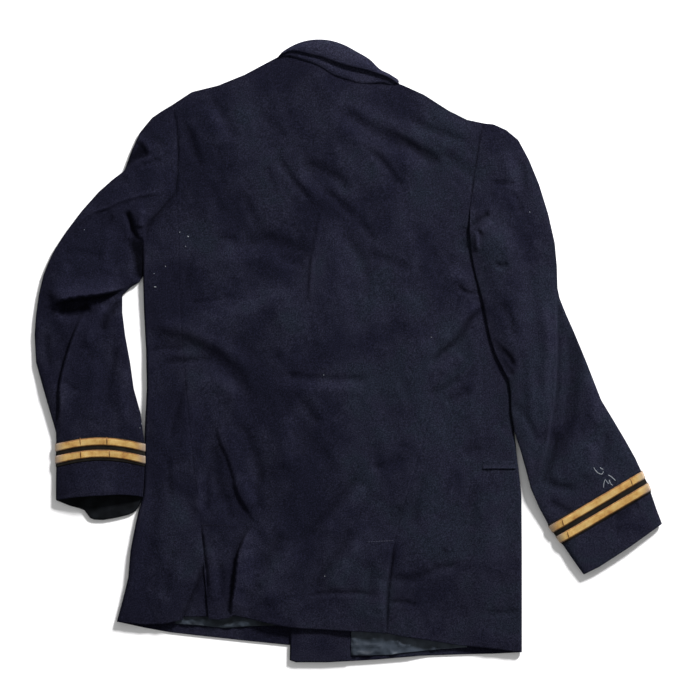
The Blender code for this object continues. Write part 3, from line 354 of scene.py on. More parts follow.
# Creases, listed by the part that they lie on. Points are in pixels of the photograph;
# the rest is in millimetres. Columns: kind, height, width, then the points. The high side of a
# step is left of its direction. A trough is drawn where it looks darkest and a ridge where it
# looks brightest; LIT_FROM points to the light, and the form's middle lies a little further
# from it.
CREASES = {
    "body": (
        # middle of the back
        ("step", 0.8, 34, (322, 210), (317, 238), (312, 265), (310, 290), (311, 312)),
        ("crest", 2.2, 1.8, (310, 305), (310, 290), (312, 265), (317, 238), (322, 210)),
        ("trough", 1.7, 9, (240, 243), (262, 238), (280, 241), (296, 247), (312, 255)),
        ("trough", 1.2, 7, (276, 256), (292, 260), (306, 263)),
        ("ridge", 1.5, 12, (214, 262), (240, 257), (266, 256), (296, 270)),
        ("trough", 1.0, 6, (196, 262), (210, 252), (222, 238), (240, 240)),
        ("trough", 0.8, 5, (194, 250), (189, 268), (185, 292)),
        ("trough", 0.9, 4, (186, 302), (206, 301), (220, 299), (234, 296)),
        ("ridge", 1.6, 14, (186, 318), (220, 316), (262, 302), (300, 290)),
        ("trough", 1.3, 8, (345, 228), (352, 243), (362, 257), (368, 278), (370, 302)),
        ("ridge", 1.2, 12, (332, 222), (338, 250), (344, 280), (346, 320)),
        ("trough", 1.0, 6, (355, 215), (366, 228), (376, 244)),
        ("trough", 1.0, 7, (365, 252), (385, 258), (400, 264), (414, 271)),
        ("trough", 1.3, 5, (276, 375), (290, 375), (310, 377), (332, 378), (352, 378), (372, 378)),
        ("ridge", 1.2, 7, (272, 384), (304, 388), (340, 388), (366, 387)),
        # shoulders
        ("trough", 1.7, 8, (335, 104), (350, 114), (362, 122), (378, 131), (395, 140), (418, 149),
         (449, 168)),
        ("trough", 1.5, 6, (386, 128), (405, 141), (422, 154), (440, 163)),
        ("ridge", 1.3, 9, (328, 120), (352, 133), (372, 146), (398, 158), (428, 176)),
        ("ridge", 1.0, 9, (352, 104), (380, 119), (410, 134), (440, 148)),
        ("trough", 1.5, 5, (366, 146), (374, 153), (386, 165), (397, 180), (402, 190)),
        ("trough", 1.9, 9, (300, 164), (314, 166), (330, 172), (342, 180), (352, 192)),
        ("trough", 1.5, 6, (326, 188), (335, 197), (346, 208), (356, 218)),
        ("trough", 1.4, 5, (277, 156), (286, 168), (295, 181), (304, 192), (312, 202)),
        ("ridge", 1.4, 8, (294, 172), (302, 180), (312, 190), (322, 202)),
        ("trough", 0.9, 5, (264, 166), (272, 180), (277, 196)),
        ("trough", 0.9, 6, (262, 112), (274, 124), (290, 140)),
        ("trough", 1.3, 7, (405, 116), (430, 128), (455, 137), (470, 142)),
        ("trough", 1.5, 8, (440, 150), (455, 160), (470, 172), (478, 180)),
        ("trough", 1.3, 8, (210, 97), (224, 114), (236, 142)),
        ("ridge", 1.2, 9, (203, 104), (215, 122), (226, 150)),
        ("trough", 1.7, 6, (183, 122), (190, 136), (196, 152), (202, 168)),
        ("trough", 0.9, 6, (240, 190), (249, 204), (256, 220), (262, 236)),
        ("trough", 0.9, 6, (212, 180), (218, 200), (226, 214)),
        # left waist
        ("trough", 2.3, 12, (146, 331), (162, 335), (182, 340), (200, 346), (217, 355), (233, 368),
         (244, 386), (252, 408)),
        ("ridge", 1.7, 9, (150, 322), (178, 326), (205, 336), (230, 350), (250, 372)),
        ("ridge", 1.6, 10, (196, 384), (214, 380), (228, 386), (238, 400)),
        ("trough", 1.9, 5, (162, 362), (176, 361), (190, 360), (204, 358), (216, 354)),
        ("trough", 1.2, 5, (150, 350), (168, 347), (186, 348)),
        ("trough", 1.6, 5, (187, 378), (183, 392), (179, 406), (174, 424), (170, 444)),
        ("trough", 1.2, 5, (170, 456), (169, 476), (171, 498)),
        ("ridge", 1.4, 8, (197, 404), (190, 430), (184, 460)),
        ("step", 1.6, 26, (219, 416), (219, 438), (227, 456), (233, 474), (237, 492), (244, 504),
         (250, 514), (254, 524)),
        ("trough", 1.8, 9, (214, 440), (216, 462), (220, 484), (224, 506)),
        ("trough", 1.3, 6, (228, 492), (229, 508), (236, 522)),
        ("trough", 1.6, 8, (240, 420), (250, 440), (258, 462), (262, 486)),
        ("trough", 1.2, 6, (262, 470), (258, 492), (262, 512)),
        ("ridge", 1.8, 8, (240, 474), (246, 490), (254, 506)),
        ("ridge", 1.5, 9, (290, 412), (288, 440), (286, 468)),
        ("trough", 1.2, 8, (305, 398), (312, 412), (322, 424)),
        ("ridge", 1.8, 5, (200, 472), (199, 490), (200, 514)),
        ("trough", 1.3, 5, (209, 462), (208, 484), (207, 514)),
        # left vent and hem
        ("step", 5.0, 16, (253, 527), (246, 535), (241, 545), (238, 555), (236, 572), (234, 590),
         (232, 602), (231, 616)),
        ("ridge", 1.5, 6, (212, 545), (213, 572), (214, 600)),
        ("trough", 1.2, 5, (219, 560), (222, 578), (221, 598)),
        ("ridge", 1.5, 8, (250, 545), (248, 568), (246, 592)),
        ("trough", 1.7, 8, (286, 530), (276, 545), (266, 560), (258, 572)),
        ("trough", 1.3, 6, (262, 582), (254, 590), (244, 604)),
        ("ridge", 1.8, 10, (300, 548), (288, 562), (274, 580), (266, 604)),
        ("trough", 1.1, 7, (176, 545), (170, 570), (165, 598)),
        ("ridge", 1.2, 9, (146, 470), (143, 515), (138, 560), (132, 600)),
        ("trough", 1.0, 8, (158, 480), (156, 520), (150, 560)),
        ("trough", 3.6, 4, (179, 626), (190, 600), (198, 582), (205, 560)),
        ("trough", 1.8, 2.6, (201, 526), (203, 540), (205, 556), (207, 574), (208, 594)),
        ("step", 2.2, 14, (385, 632), (385, 612), (386, 590), (389, 568), (393, 541)),
        ("trough", 1.3, 2.4, (386, 634), (387, 612), (388, 590), (391, 568), (395, 543)),
        # lower back
        ("trough", 2.1, 7, (352, 526), (342, 545), (332, 562), (320, 580), (313, 596)),
        ("ridge", 1.7, 8, (362, 536), (350, 556), (340, 572), (330, 588)),
        ("trough", 1.8, 8, (359, 474), (345, 492), (328, 514), (312, 530), (298, 544)),
        ("ridge", 1.7, 8, (366, 484), (352, 502), (338, 518), (322, 534)),
        ("trough", 0.9, 9, (318, 446), (330, 461), (340, 476)),
        ("trough", 1.0, 10, (374, 440), (376, 456), (379, 470)),
        ("trough", 1.1, 7, (404, 454), (392, 462), (376, 470)),
        ("trough", 1.3, 4, (306, 596), (322, 593), (340, 592), (360, 592), (374, 594)),
        ("trough", 1.2, 6, (402, 505), (396, 516), (388, 527)),
        ("trough", 1.1, 8, (366, 558), (370, 572), (370, 590), (368, 600)),
        ("ridge", 1.6, 6, (381, 578), (380, 592), (380, 612)),
        ("trough", 1.7, 6, (388, 576), (402, 578), (418, 577), (436, 568), (464, 563)),
        ("trough", 1.6, 4, (388, 601), (398, 601), (408, 602), (418, 605)),
        ("trough", 1.2, 8, (448, 546), (440, 556), (430, 566)),
        ("trough", 0.9, 5, (484, 611), (500, 612), (520, 611)),
        ("trough", 1.0, 8, (474, 484), (473, 508), (472, 532)),
        ("ridge", 1.2, 12, (498, 488), (496, 530), (494, 580)),
        ("trough", 0.9, 8, (424, 470), (417, 500), (412, 530)),
        # right waist
        ("trough", 3.4, 4.4, (487, 303), (478, 312), (469, 322), (459, 338), (448, 348),
         (438, 356), (430, 367)),
        ("ridge", 1.6, 7, (480, 300), (466, 314), (452, 330), (438, 345)),
        ("ridge", 1.3, 7, (462, 352), (450, 362), (442, 374)),
        ("trough", 1.4, 6, (462, 376), (450, 384), (438, 390), (428, 394)),
        ("trough", 1.1, 6, (472, 388), (458, 396), (446, 402)),
        ("ridge", 1.5, 10, (448, 268), (460, 276), (474, 282)),
        ("trough", 1.3, 4, (457, 284), (464, 291), (474, 293), (482, 289)),
        ("trough", 1.3, 8, (466, 224), (464, 236), (466, 250)),
        ("trough", 1.4, 9, (499, 388), (502, 410), (504, 432)),
        ("trough", 1.2, 7, (482, 452), (474, 448), (464, 456)),
        ("trough", 1.6, 3, (177, 197), (169, 206), (161, 215), (151, 226), (144, 238)),
    ),
    "left": (
        ("step", 3.4, 16, (151, 154), (146, 157.5), (140, 159), (133, 162), (127, 166.5),
         (118, 175)),
        ("trough", 4.4, 11, (116, 170), (124, 162), (131, 157), (139, 153), (150, 150)),
        ("trough", 2.6, 7, (140, 140), (142, 146), (143, 152)),
        ("ridge", 2.4, 5, (136, 136), (146, 144), (153, 152)),
        ("trough", 1.8, 4, (140, 166), (147, 163.5), (157, 160), (162, 160)),
        ("trough", 1.6, 5, (152, 133), (160, 141), (168, 145)),
        ("step", 0.8, 14, (66, 236), (74, 228), (82, 221), (90, 215), (98, 211), (108, 209),
         (116, 204), (130, 199), (143, 196), (158, 193), (170, 192)),
        ("crest", 1.2, 2.6, (68, 234), (74, 228), (82, 221), (90, 215), (98, 211), (108, 208),
         (116, 204), (130, 199), (143, 196), (158, 193), (170, 192)),
        ("trough", 1.0, 5, (96, 236), (106, 226), (114, 214)),
        ("trough", 4.6, 5, (127, 210), (130, 219), (133, 229), (137, 240)),
        ("trough", 8.0, 8, (132, 236), (136, 248), (139, 260), (141, 280)),
        ("trough", 7.0, 5, (140, 236), (142, 250), (143, 266), (143, 282)),
        ("ridge", 2.4, 6, (144, 208), (141, 218), (142, 228)),
        ("trough", 2.6, 3, (176, 193), (168, 203), (160, 212), (151, 221), (144, 232)),
        ("trough", 0.7, 7, (62, 252), (78, 251), (94, 254), (107, 257)),
        ("ridge", 1.5, 8, (70, 262), (60, 280), (52, 298)),
        ("ridge", 1.4, 9, (112, 225), (108, 250), (104, 275)),
        ("step", 8.5, 16, (52, 305), (62, 301), (76, 298), (92, 296), (108, 293.5), (124, 289)),
        ("trough", 5.2, 10, (58, 308), (68, 310), (80, 309), (92, 303)),
        ("trough", 3.6, 5, (122, 300), (114, 309), (106, 320), (101, 333)),
        ("ridge", 2.6, 8, (110, 304), (100, 315), (92, 330), (86, 348)),
        ("step", 3.6, 10, (86, 310), (75, 332), (65, 362), (60, 386), (60, 407), (57, 430)),
        ("trough", 0.8, 6, (62, 378), (72, 386), (82, 390)),
        ("ridge", 1.4, 9, (98, 360), (94, 390), (96, 420)),
        ("trough", 1.8, 7, (116, 345), (112, 372), (106, 398)),
        ("ridge", 1.4, 8, (126, 365), (124, 395), (126, 422)),
        ("trough", 1.0, 14, (106, 392), (112, 404), (122, 412)),
        ("trough", 1.5, 7, (46, 330), (47, 350), (51, 370)),
    ),
    "right": (
        ("trough", 1.6, 4, (490, 184), (502, 183), (516, 184)),
        ("trough", 4.0, 4, (490, 212), (482, 218), (474, 223), (467, 228)),
        ("ridge", 2.0, 5, (494, 222), (486, 227), (480, 233)),
        ("trough", 2.4, 2.6, (471, 229), (469, 236), (470, 247), (476, 257)),
        ("ridge", 2.4, 3.6, (476, 230), (476.5, 240), (477, 251)),
        ("ridge", 1.4, 2.6, (471, 231), (477, 228), (484, 230)),
        ("trough", 1.8, 5, (494, 263), (502, 266), (508, 262)),
        ("trough", 1.4, 6, (512, 192), (518, 200), (522, 214)),
        ("trough", 1.2, 9, (520, 155), (524, 180), (524, 205)),
        ("ridge", 1.6, 10, (506, 150), (512, 180), (514, 210)),
        ("step", 3.4, 16, (533, 482), (541, 463), (548, 443), (550, 424), (554, 403), (556, 378),
         (557, 337), (556, 300), (552, 286)),
        ("crest", 1.9, 4.5, (534, 480), (540, 464), (546, 446), (549, 430), (552, 410)),
        ("trough", 3.2, 6, (540, 486), (549, 468), (555, 450), (558, 430)),
        ("trough", 3.0, 13, (572, 322), (574, 350), (573, 385), (569, 415), (562, 445),
         (552, 470)),
        ("ridge", 2.2, 9, (544, 296), (548, 340), (546, 380), (541, 420)),
        ("trough", 3.0, 5, (490, 338), (500, 349), (509, 357), (515, 368)),
        ("trough", 2.2, 5, (500, 358), (507, 366), (513, 377)),
        ("trough", 1.6, 9, (521, 345), (524, 368), (524, 392), (528, 420)),
        ("trough", 1.6, 7, (515, 402), (524, 414), (532, 428), (538, 444)),
        ("trough", 1.4, 8, (500, 300), (510, 318), (516, 340)),
        ("ridge", 1.8, 9, (588, 372), (594, 400), (598, 428)),
        ("trough", 1.7, 8, (543, 480), (560, 486), (576, 488)),
        ("trough", 1.3, 7, (548, 500), (562, 508), (574, 512)),
        ("ridge", 1.6, 9, (590, 440), (592, 460), (588, 478)),
        ("trough", 1.2, 8, (606, 430), (606, 450), (602, 470)),
        ("trough", 1.2, 8, (640, 500), (628, 512), (612, 520)),
    ),
}

# Troughs along the armhole seams, on a sleeve and on the body beside it. Columns: sleeve,
# height, width, then the points.
SEAM_TROUGHS = (
    ("left", 1.7, 2.2, (171, 106), (176, 119), (178, 139), (178, 159), (177.5, 179), (176, 192)),
    ("left", 2.6, 3, (177.5, 172), (176, 191), (170, 200), (161, 211), (151, 223), (142, 240)),
    ("right", 2.2, 2.2, (485, 120), (481, 134), (477.6, 154), (473.3, 180), (471, 198)),
)


def photo(points):
    return [((x - PHOTO_MIDDLE[0]) * PIXEL, (PHOTO_MIDDLE[1] - y) * PIXEL) for x, y in points]


def rounded(points, parts=4):
    """The same curve with its corners rounded off."""
    table = np.asarray(points, float)
    if len(table) < 3:
        return table
    before = np.concatenate((table[:1] * 2 - table[1:2], table[:-1]))[:-1]
    start = table[:-1]
    end = table[1:]
    after = np.concatenate((table[1:], table[-1:] * 2 - table[-2:-1]))[1:]
    found = []
    for share in np.arange(parts) / parts:
        found.append(0.5 * (2 * start + (end - before) * share
                            + (2 * before - 5 * start + 4 * end - after) * share ** 2
                            + (3 * start - before - 3 * end + after) * share ** 3))
    joined = np.stack(found, axis=1).reshape(-1, 2)
    return np.concatenate((joined, table[-1:]))


def crease_curves():
    """The creases of each part, with their points rounded off and converted to millimetres."""
    found = {}
    for part, rows in CREASES.items():
        widen = SOFTNESS if part == "body" else 1.0
        found[part] = [(kind, height, width * (widen if width > SHARP else 1.0),
                        rounded(photo(points))) for kind, height, width, *points in rows]
    for sleeve, height, width, *points in SEAM_TROUGHS:
        for part in ("body", sleeve):
            found[part].append(("trough", height, width, rounded(photo(points))))
    return found


CREASE_CURVES = crease_curves()


def near_curve(x, y, points):
    """Distance to a curve, its side (+1 is left) and the share of its length there."""
    marks = lengths(points)
    best = np.full(np.shape(x), 1e9)
    side = np.ones(np.shape(x))
    place = np.zeros(np.shape(x))
    for index in range(len(points) - 1):
        ax, ay = points[index]
        dx, dy = points[index + 1] - points[index]
        share = np.clip(((x - ax) * dx + (y - ay) * dy) / (dx * dx + dy * dy), 0, 1)
        gap = np.hypot(x - ax - share * dx, y - ay - share * dy)
        turn = np.where(dx * (y - ay) - dy * (x - ax) >= 0, 1.0, -1.0)
        nearer = gap < best
        best = np.where(nearer, gap, best)
        side = np.where(nearer, turn, side)
        place = np.where(nearer, marks[index] + share * (marks[index + 1] - marks[index]), place)
    return best, side, place


LIT_FROM = (0.57, 0.82)
LIT_SHIFT = 0.3


def creases(x, y, part, shift=LIT_SHIFT, high_side=1.0, low_side=0.28):
    """How far the folds of one part raise or lower its cloth at the given places."""
    height = np.zeros(np.shape(x))
    for kind, depth, width, points in CREASE_CURVES[part]:
        low = points.min(axis=0) - 3 * width - 4
        high = points.max(axis=0) + 3 * width + 4
        near = (x > low[0]) & (x < high[0]) & (y > low[1]) & (y < high[1])
        if not near.any():
            continue
        away = shift * width if kind in ("ridge", "trough") else 0.0
        gap, side, place = near_curve(x[near] + away * LIT_FROM[0],
                                      y[near] + away * LIT_FROM[1], points)
        fade = smooth(np.minimum(place, 1 - place) / 0.22 + 0.12)
        if kind in ("ridge", "crest"):
            bump = depth * np.exp(-(gap / width) ** 2)
        elif kind == "trough":
            bump = -depth * np.exp(-(gap / (0.8 * width)) ** 2)
        else:
            rise = smooth((gap * side + 0.8) / 1.6)
            bump = high_side * depth * rise * np.exp(-(gap / width) ** 1.6)
            bump = bump - low_side * depth * (1 - rise) * np.exp(-(gap / (0.4 * width)) ** 2)
        height[near] += FULLNESS * bump * fade
    return height


def noise(x, y, scale, seed):
    """Smooth noise from -1 to 1 over the plan, with bumps about scale wide."""
    table = np.random.default_rng(seed).uniform(-1, 1, (256, 256))
    fx = x / scale + 128
    fy = y / scale + 128
    column = np.floor(fx).astype(int)
    row = np.floor(fy).astype(int)
    sx = smooth(fx - column)
    sy = smooth(fy - row)
    column %= 255
    row %= 255
    low = table[row, column] * (1 - sx) + table[row, column + 1] * sx
    high = table[row + 1, column] * (1 - sx) + table[row + 1, column + 1] * sx
    return low * (1 - sy) + high * sy


SEEDS = {"body": 11, "left": 31, "right": 41}


def slack(x, y, part):
    """Small unevenness of cloth that lies loose."""
    seed = SEEDS[part]
    along_fold = 0.94 * x + 0.34 * y
    across_fold = 0.94 * y - 0.34 * x
    return (1.0 * noise(x, y, 62, seed) + 0.7 * noise(x, y, 31, seed + 1)
            + 0.9 * noise(along_fold, across_fold / 2.6, 24, seed + 4)
            + 0.45 * noise(along_fold, across_fold / 2.2, 11, seed + 5)
            + 0.26 * noise(x, y, 14, seed + 2) + 0.09 * noise(x, y, 6, seed + 3))


# Heights of the layers, in millimetres over the resting surface.

def front_rise(x, y):
    marks = [row[0] for row in RISE_ROWS]
    left = np.interp(y, marks, [row[1] for row in RISE_ROWS])
    right = np.interp(y, marks, [row[2] for row in RISE_ROWS])
    across = smooth((x - left + RISE_RAMP) / RISE_RAMP) * smooth((right + RISE_RAMP - x) / RISE_RAMP)
    return FRONT_RISE * across * smooth((y - RISE_Y0) / (RISE_Y1 - RISE_Y0))


def right_front_base(x, y):
    return front_rise(x, y) + OVERLAP_STEP * smooth((edge_x(EDGE_LEFT, y) + 52 - x) / 40)


def fronts_top(x, y):
    inside = smooth((x - edge_x(EDGE_RIGHT, y) + 64) / 50)
    within = smooth((edge_x(EDGE_LEFT, y) + 100 - x) / 50)
    return front_rise(x, y) + CLOTH + OVERLAP_STEP * inside * within


def box_share(x, y, x0, x1, y0, y1, ramp):
    across = smooth((x - x0 + ramp) / ramp) * smooth((x1 + ramp - x) / ramp)
    upright = smooth((y - y0 + ramp) / ramp) * smooth((y1 + ramp - y) / ramp)
    return across * upright


def body_level(x, y):
    """Underside of the back and of the upper part of the side bodies, without creases."""
    height = fronts_top(x, y) + LAYER_GAP + SLACK
    height = height + 0.9 * smooth((-240 - y) / 50)
    height = height + 2.0 * box_share(x, y, -245, -175, -500, -245, 40)
    return height + 2.0 * box_share(x, y, 25, 95, -500, -265, 40)


def body_lift(x, y):
    """The back lies looser below the armholes and between the shoulders."""
    lower = smooth((170 - y) / 60)
    between = box_share(x, y, -190, 120, 120, 300, 50)
    return BODY_LIFT * np.maximum(lower, between)


def soft_floor(value, least):
    """The value, held above the least one with a rounded turn."""
    over = value - least
    return least + np.where(over > 1.0, over, np.exp(np.minimum(over, 1.0) - 1.0))


def body_top(x, y):
    """Outside of the back and side bodies; it lies calm where the right sleeve presses on it."""
    pressed = smooth((x - 168) / 20) * smooth((y + 140) / 50)
    uneven = creases(x, y, "body") + slack(x, y, "body")
    uneven = soft_floor(uneven + body_lift(x, y), -1.7) * (1 - pressed)
    return body_level(x, y) + CLOTH + uneven


def support_right(x, y):
    """How high the right sleeve lies where the side body is beneath it."""
    armhole = [(168, 180), (174, 160), (189, 146)]
    seam = [(130, -430), (130, -60), (150, 60), (168, 180)]
    ring = armhole + list(reversed(FOLD_RIGHT)) + [(242, -430)] + seam
    gap = near_curve(x, y, np.asarray(ring, float))[0]
    inside = np.zeros(np.shape(x), bool)
    for (ax, ay), (bx, by) in zip(ring[:-1], ring[1:]):
        crosses = (ay > y) != (by > y)
        reach = ax + (y - ay) / (by - ay if by != ay else 1e-9) * (bx - ax)
        inside = inside ^ (crosses & (x < reach))
    away = np.where(inside, 0.0, gap)
    level = CLOTH + LAYER_GAP + SLACK + CLOTH + 1.1
    return level * (1.0 - smooth((away - 10.0) / 34.0))


# Meshes.

PIECES = {}
HEMMED = ("edge", "edge", "edge", "edge")
LEAST_WALL = 0.15


PALER_AT = (-20, 70)     # middle of the paler part of the back
PALER_WIDE = 120


def plan_points(made):
    """The points of a mesh in millimetres, where the tables have them."""
    place = np.empty(3 * len(made.data.vertices))
    made.data.vertices.foreach_get("co", place)
    return place.reshape(-1, 3) / MM + np.array([MIDDLE_X, MIDDLE_Y, 0.0])


def write_layer(made, name, values):
    made.data.attributes.new(name, "FLOAT", "POINT").data.foreach_set("value", values)


def paint_fold_shade(made, part):
    """Writes each point's painted shade as its fold layer: darker in troughs and on a step's low
    side, lighter on ridges.
    """
    x, y, _ = plan_points(made).T
    fold = creases(x, y, part, 0.0, 0.5, 0.6) + 0.6 * slack(x, y, part)
    if part == "body":
        apart = ((x - PALER_AT[0]) / PALER_WIDE) ** 2 + ((y - PALER_AT[1]) / PALER_WIDE) ** 2
        # The tone is lifted round the middle of the back and lowered a little everywhere else.
        fold += 1.2 * np.exp(-apart) - 0.5
    write_layer(made, "fold", fold)


def mark_ends(made):
    """Writes where a lace turns round the sleeve's folds; it is rubbed pale there."""
    x = plan_points(made)[:, 0]
    to_end = np.minimum(x - x.min(), x.max() - x)
    write_layer(made, "ends", 0.8 * (1 - smooth(to_end / RUBBED)))


def make_mesh(name, points, faces, paint):
    mesh = bpy.data.meshes.new(name)
    place = (np.asarray(points, float) - np.array([MIDDLE_X, MIDDLE_Y, 0.0])) * MM
    faces = np.asarray(faces, dtype=np.int32)
    mesh.vertices.add(len(place))
    mesh.vertices.foreach_set("co", place.ravel())
    sides = faces.shape[1]
    mesh.loops.add(faces.size)
    mesh.loops.foreach_set("vertex_index", faces.ravel())
    mesh.polygons.add(len(faces))
    mesh.polygons.foreach_set("loop_start", np.arange(0, faces.size, sides, dtype=np.int32))
    mesh.polygons.foreach_set("use_smooth", np.ones(len(faces), bool))
    mesh.update(calc_edges=True)
    mesh.validate()
    made = bpy.data.objects.new(name, mesh)
    bpy.context.scene.collection.objects.link(made)
    made.data.materials.append(paint)
    return made


def signed_volume(points, faces):
    a, b, c, d = (points[faces[:, corner]] for corner in range(4))
    first = (a * np.cross(b, c)).sum()
    return first + (a * np.cross(c, d)).sum()


def grid_faces(rows, columns, last, start=0):
    """Four-sided faces of a grid of points; with last equal to columns it closes to a tube."""
    row, column = np.meshgrid(start + columns * np.arange(rows - 1), np.arange(last),
                              indexing="ij")
    a = row + column
    b = row + (column + 1) % columns
    return np.stack((a, b, b + columns, a + columns), axis=-1).reshape(-1, 4)


def facing_out(points, faces):
    return faces[:, ::-1] if signed_volume(points, faces) < 0 else faces


def wall(name, outer, inner, paint, closed):
    """Closed wall between two grids of the same size, of four-sided faces."""
    rows, columns = outer.shape[:2]
    points = np.concatenate((outer.reshape(-1, 3), inner.reshape(-1, 3)))
    back = rows * columns
    last = columns if closed else columns - 1
    front = grid_faces(rows, columns, last)
    faces = [front, back + front[:, ::-1]]
    column = np.arange(last)
    right = (column + 1) % columns
    faces.append(np.stack((right, column, back + column, back + right), axis=-1))
    top = (rows - 1) * columns
    faces.append(np.stack((top + column, top + right, back + top + right, back + top + column),
                          axis=-1))
    if not closed:
        row = np.arange(rows - 1)
        a = row * columns
        d = a + columns
        faces.append(np.stack((a, d, back + d, back + a), axis=-1))
        faces.append(np.stack((d + columns - 1, a + columns - 1, back + a + columns - 1,
                               back + d + columns - 1), axis=-1))
    return make_mesh(name, points, facing_out(points, np.concatenate(faces)), paint)


def marks_along(length, spacing, ends_at=(0.0, 0.35, 0.9, 1.7, 2.9)):
    """Shares of a length with closer ones at both ends."""
    near = np.asarray(ends_at)
    count = max(int((length - 2 * near[-1]) / spacing), 2)
    middle = np.linspace(near[-1], length - near[-1], count + 1)
    return np.concatenate((near[:-1], middle, (length - near[:-1])[::-1])) / length


def edge_drop(gap, kind, thickness):
    """How far the outside and the inside of a panel bend in at an edge."""
    if kind == "seam":
        return 0.42 * np.exp(-(gap / 1.7) ** 2), np.zeros(np.shape(gap))
    half = thickness / 2
    share = np.clip(1 - gap / half, 0, 1)
    turn = half * (1 - np.sqrt(np.clip(1 - share ** 2, 0, 1)))
    outside = turn.copy()
    if kind == "shoulder":
        sink = 2.0 * np.exp(-(gap / 9.0) ** 2)
        return outside + sink, turn * 0.9 - sink
    return outside, turn * 0.9


def bent_in(level, gaps, kinds, thickness):
    """Outside and inside of cloth whose outside is at a level, bent in at its edges."""
    outer = level.copy()
    inner = level - thickness
    for gap, kind in zip(gaps, kinds):
        down, up = edge_drop(gap, kind, thickness)
        outer = outer - down
        inner = inner + up
    return outer, np.minimum(inner, outer - LEAST_WALL)


def mean_width(patch):
    return float(np.mean([patch.width(v) for v in (0.1, 0.4, 0.7)]))


def panel(name, patch, top, kinds, paint, thickness=THIN, spacing=STEP):
    """Fine panel whose outside is top(x, y); kinds names its left, right, hem and top edges."""
    us = marks_along(mean_width(patch), spacing)
    vs = marks_along(patch.length, spacing)
    plan = np.stack([patch.at(us, v) for v in vs])
    x = plan[..., 0]
    y = plan[..., 1]
    wide = np.array([patch.width(v) for v in vs])[:, None]
    gaps = (us[None, :] * wide, (1 - us[None, :]) * wide,
            np.broadcast_to((vs * patch.length)[:, None], x.shape),
            np.broadcast_to(((1 - vs) * patch.length)[:, None], x.shape))
    outer, inner = bent_in(top(x, y), gaps, kinds, thickness)
    return wall(name, np.dstack((x, y, outer)), np.dstack((x, y, inner)), paint, False)


# Materials.

class Look:
    """A material, with short ways to add its nodes."""

    def __init__(self, name, **sockets):
        self.made = bpy.data.materials.new(name)
        self.made.use_nodes = True
        self.shader = self.made.node_tree.nodes["Principled BSDF"]
        self.place = self.add("TexCoord").outputs["Object"]
        for socket, value in sockets.items():
            self.join(value, self.shader.inputs[socket.replace("_", " ")])

    def join(self, value, socket):
        """Links another node's output to a socket, or sets the socket to a value."""
        if isinstance(value, bpy.types.NodeSocket):
            self.made.node_tree.links.new(value, socket)
        else:
            socket.default_value = value

    def add(self, kind, **settings):
        """A new node; each setting is one of its properties or else one of its inputs."""
        made = self.made.node_tree.nodes.new("ShaderNode" + kind)
        for key, value in settings.items():
            if hasattr(made, key):
                setattr(made, key, value)
            else:
                self.join(value, made.inputs[key.replace("_", " ")])
        return made

    def texture(self, kind, **settings):
        """Value of a noise or a wave, laid on the object's own coordinates."""
        return self.add("Tex" + kind, **{"Vector": self.place, **settings}).outputs["Fac"]

    def attribute(self, name):
        return self.add("Attribute", attribute_name=name).outputs["Fac"]

    def math(self, operation, *values):
        made = self.add("Math", operation=operation)
        for socket, value in zip(made.inputs, values):
            self.join(value, socket)
        return made.outputs["Value"]

    def mix(self, blend_type, share, first, second):
        """Mix of two colours; 0, 6 and 7 are the mix node's inputs for colours, 2 its output."""
        made = self.add("Mix", data_type="RGBA", blend_type=blend_type)
        for index, value in ((0, share), (6, first), (7, second)):
            self.join(value, made.inputs[index])
        return made.outputs[2]

    def ramp(self, source, *stops):
        made = self.add("ValToRGB", Fac=source)
        table = made.color_ramp
        while len(table.elements) < len(stops):
            table.elements.new(0.5)
        for element, (place, colour) in zip(table.elements, stops):
            element.position = place
            element.color = (*colour, 1.0)
        return made.outputs["Color"]

    def finish(self, colour, height=None, strength=0.0, distance=0.0):
        """Sets the colour and, where a height is given, the bumps, and returns the material."""
        self.join(colour, self.shader.inputs["Base Color"])
        if height is not None:
            bump = self.add("Bump", Strength=strength, Distance=distance, Height=height)
            self.join(bump.outputs["Normal"], self.shader.inputs["Normal"])
        return self.made


RUBBED = 16.0           # length of a lace that is rubbed pale at each end
RUBBED_COLOUR = (0.27, 0.225, 0.20, 1.0)
PAINTED_FOLD_SHADE = 0.070       # painted shade: change of tone for each millimetre of fold
DEEPEST_PAINTED_SHADE = 0.2        # painted shade: tone in the deepest fold
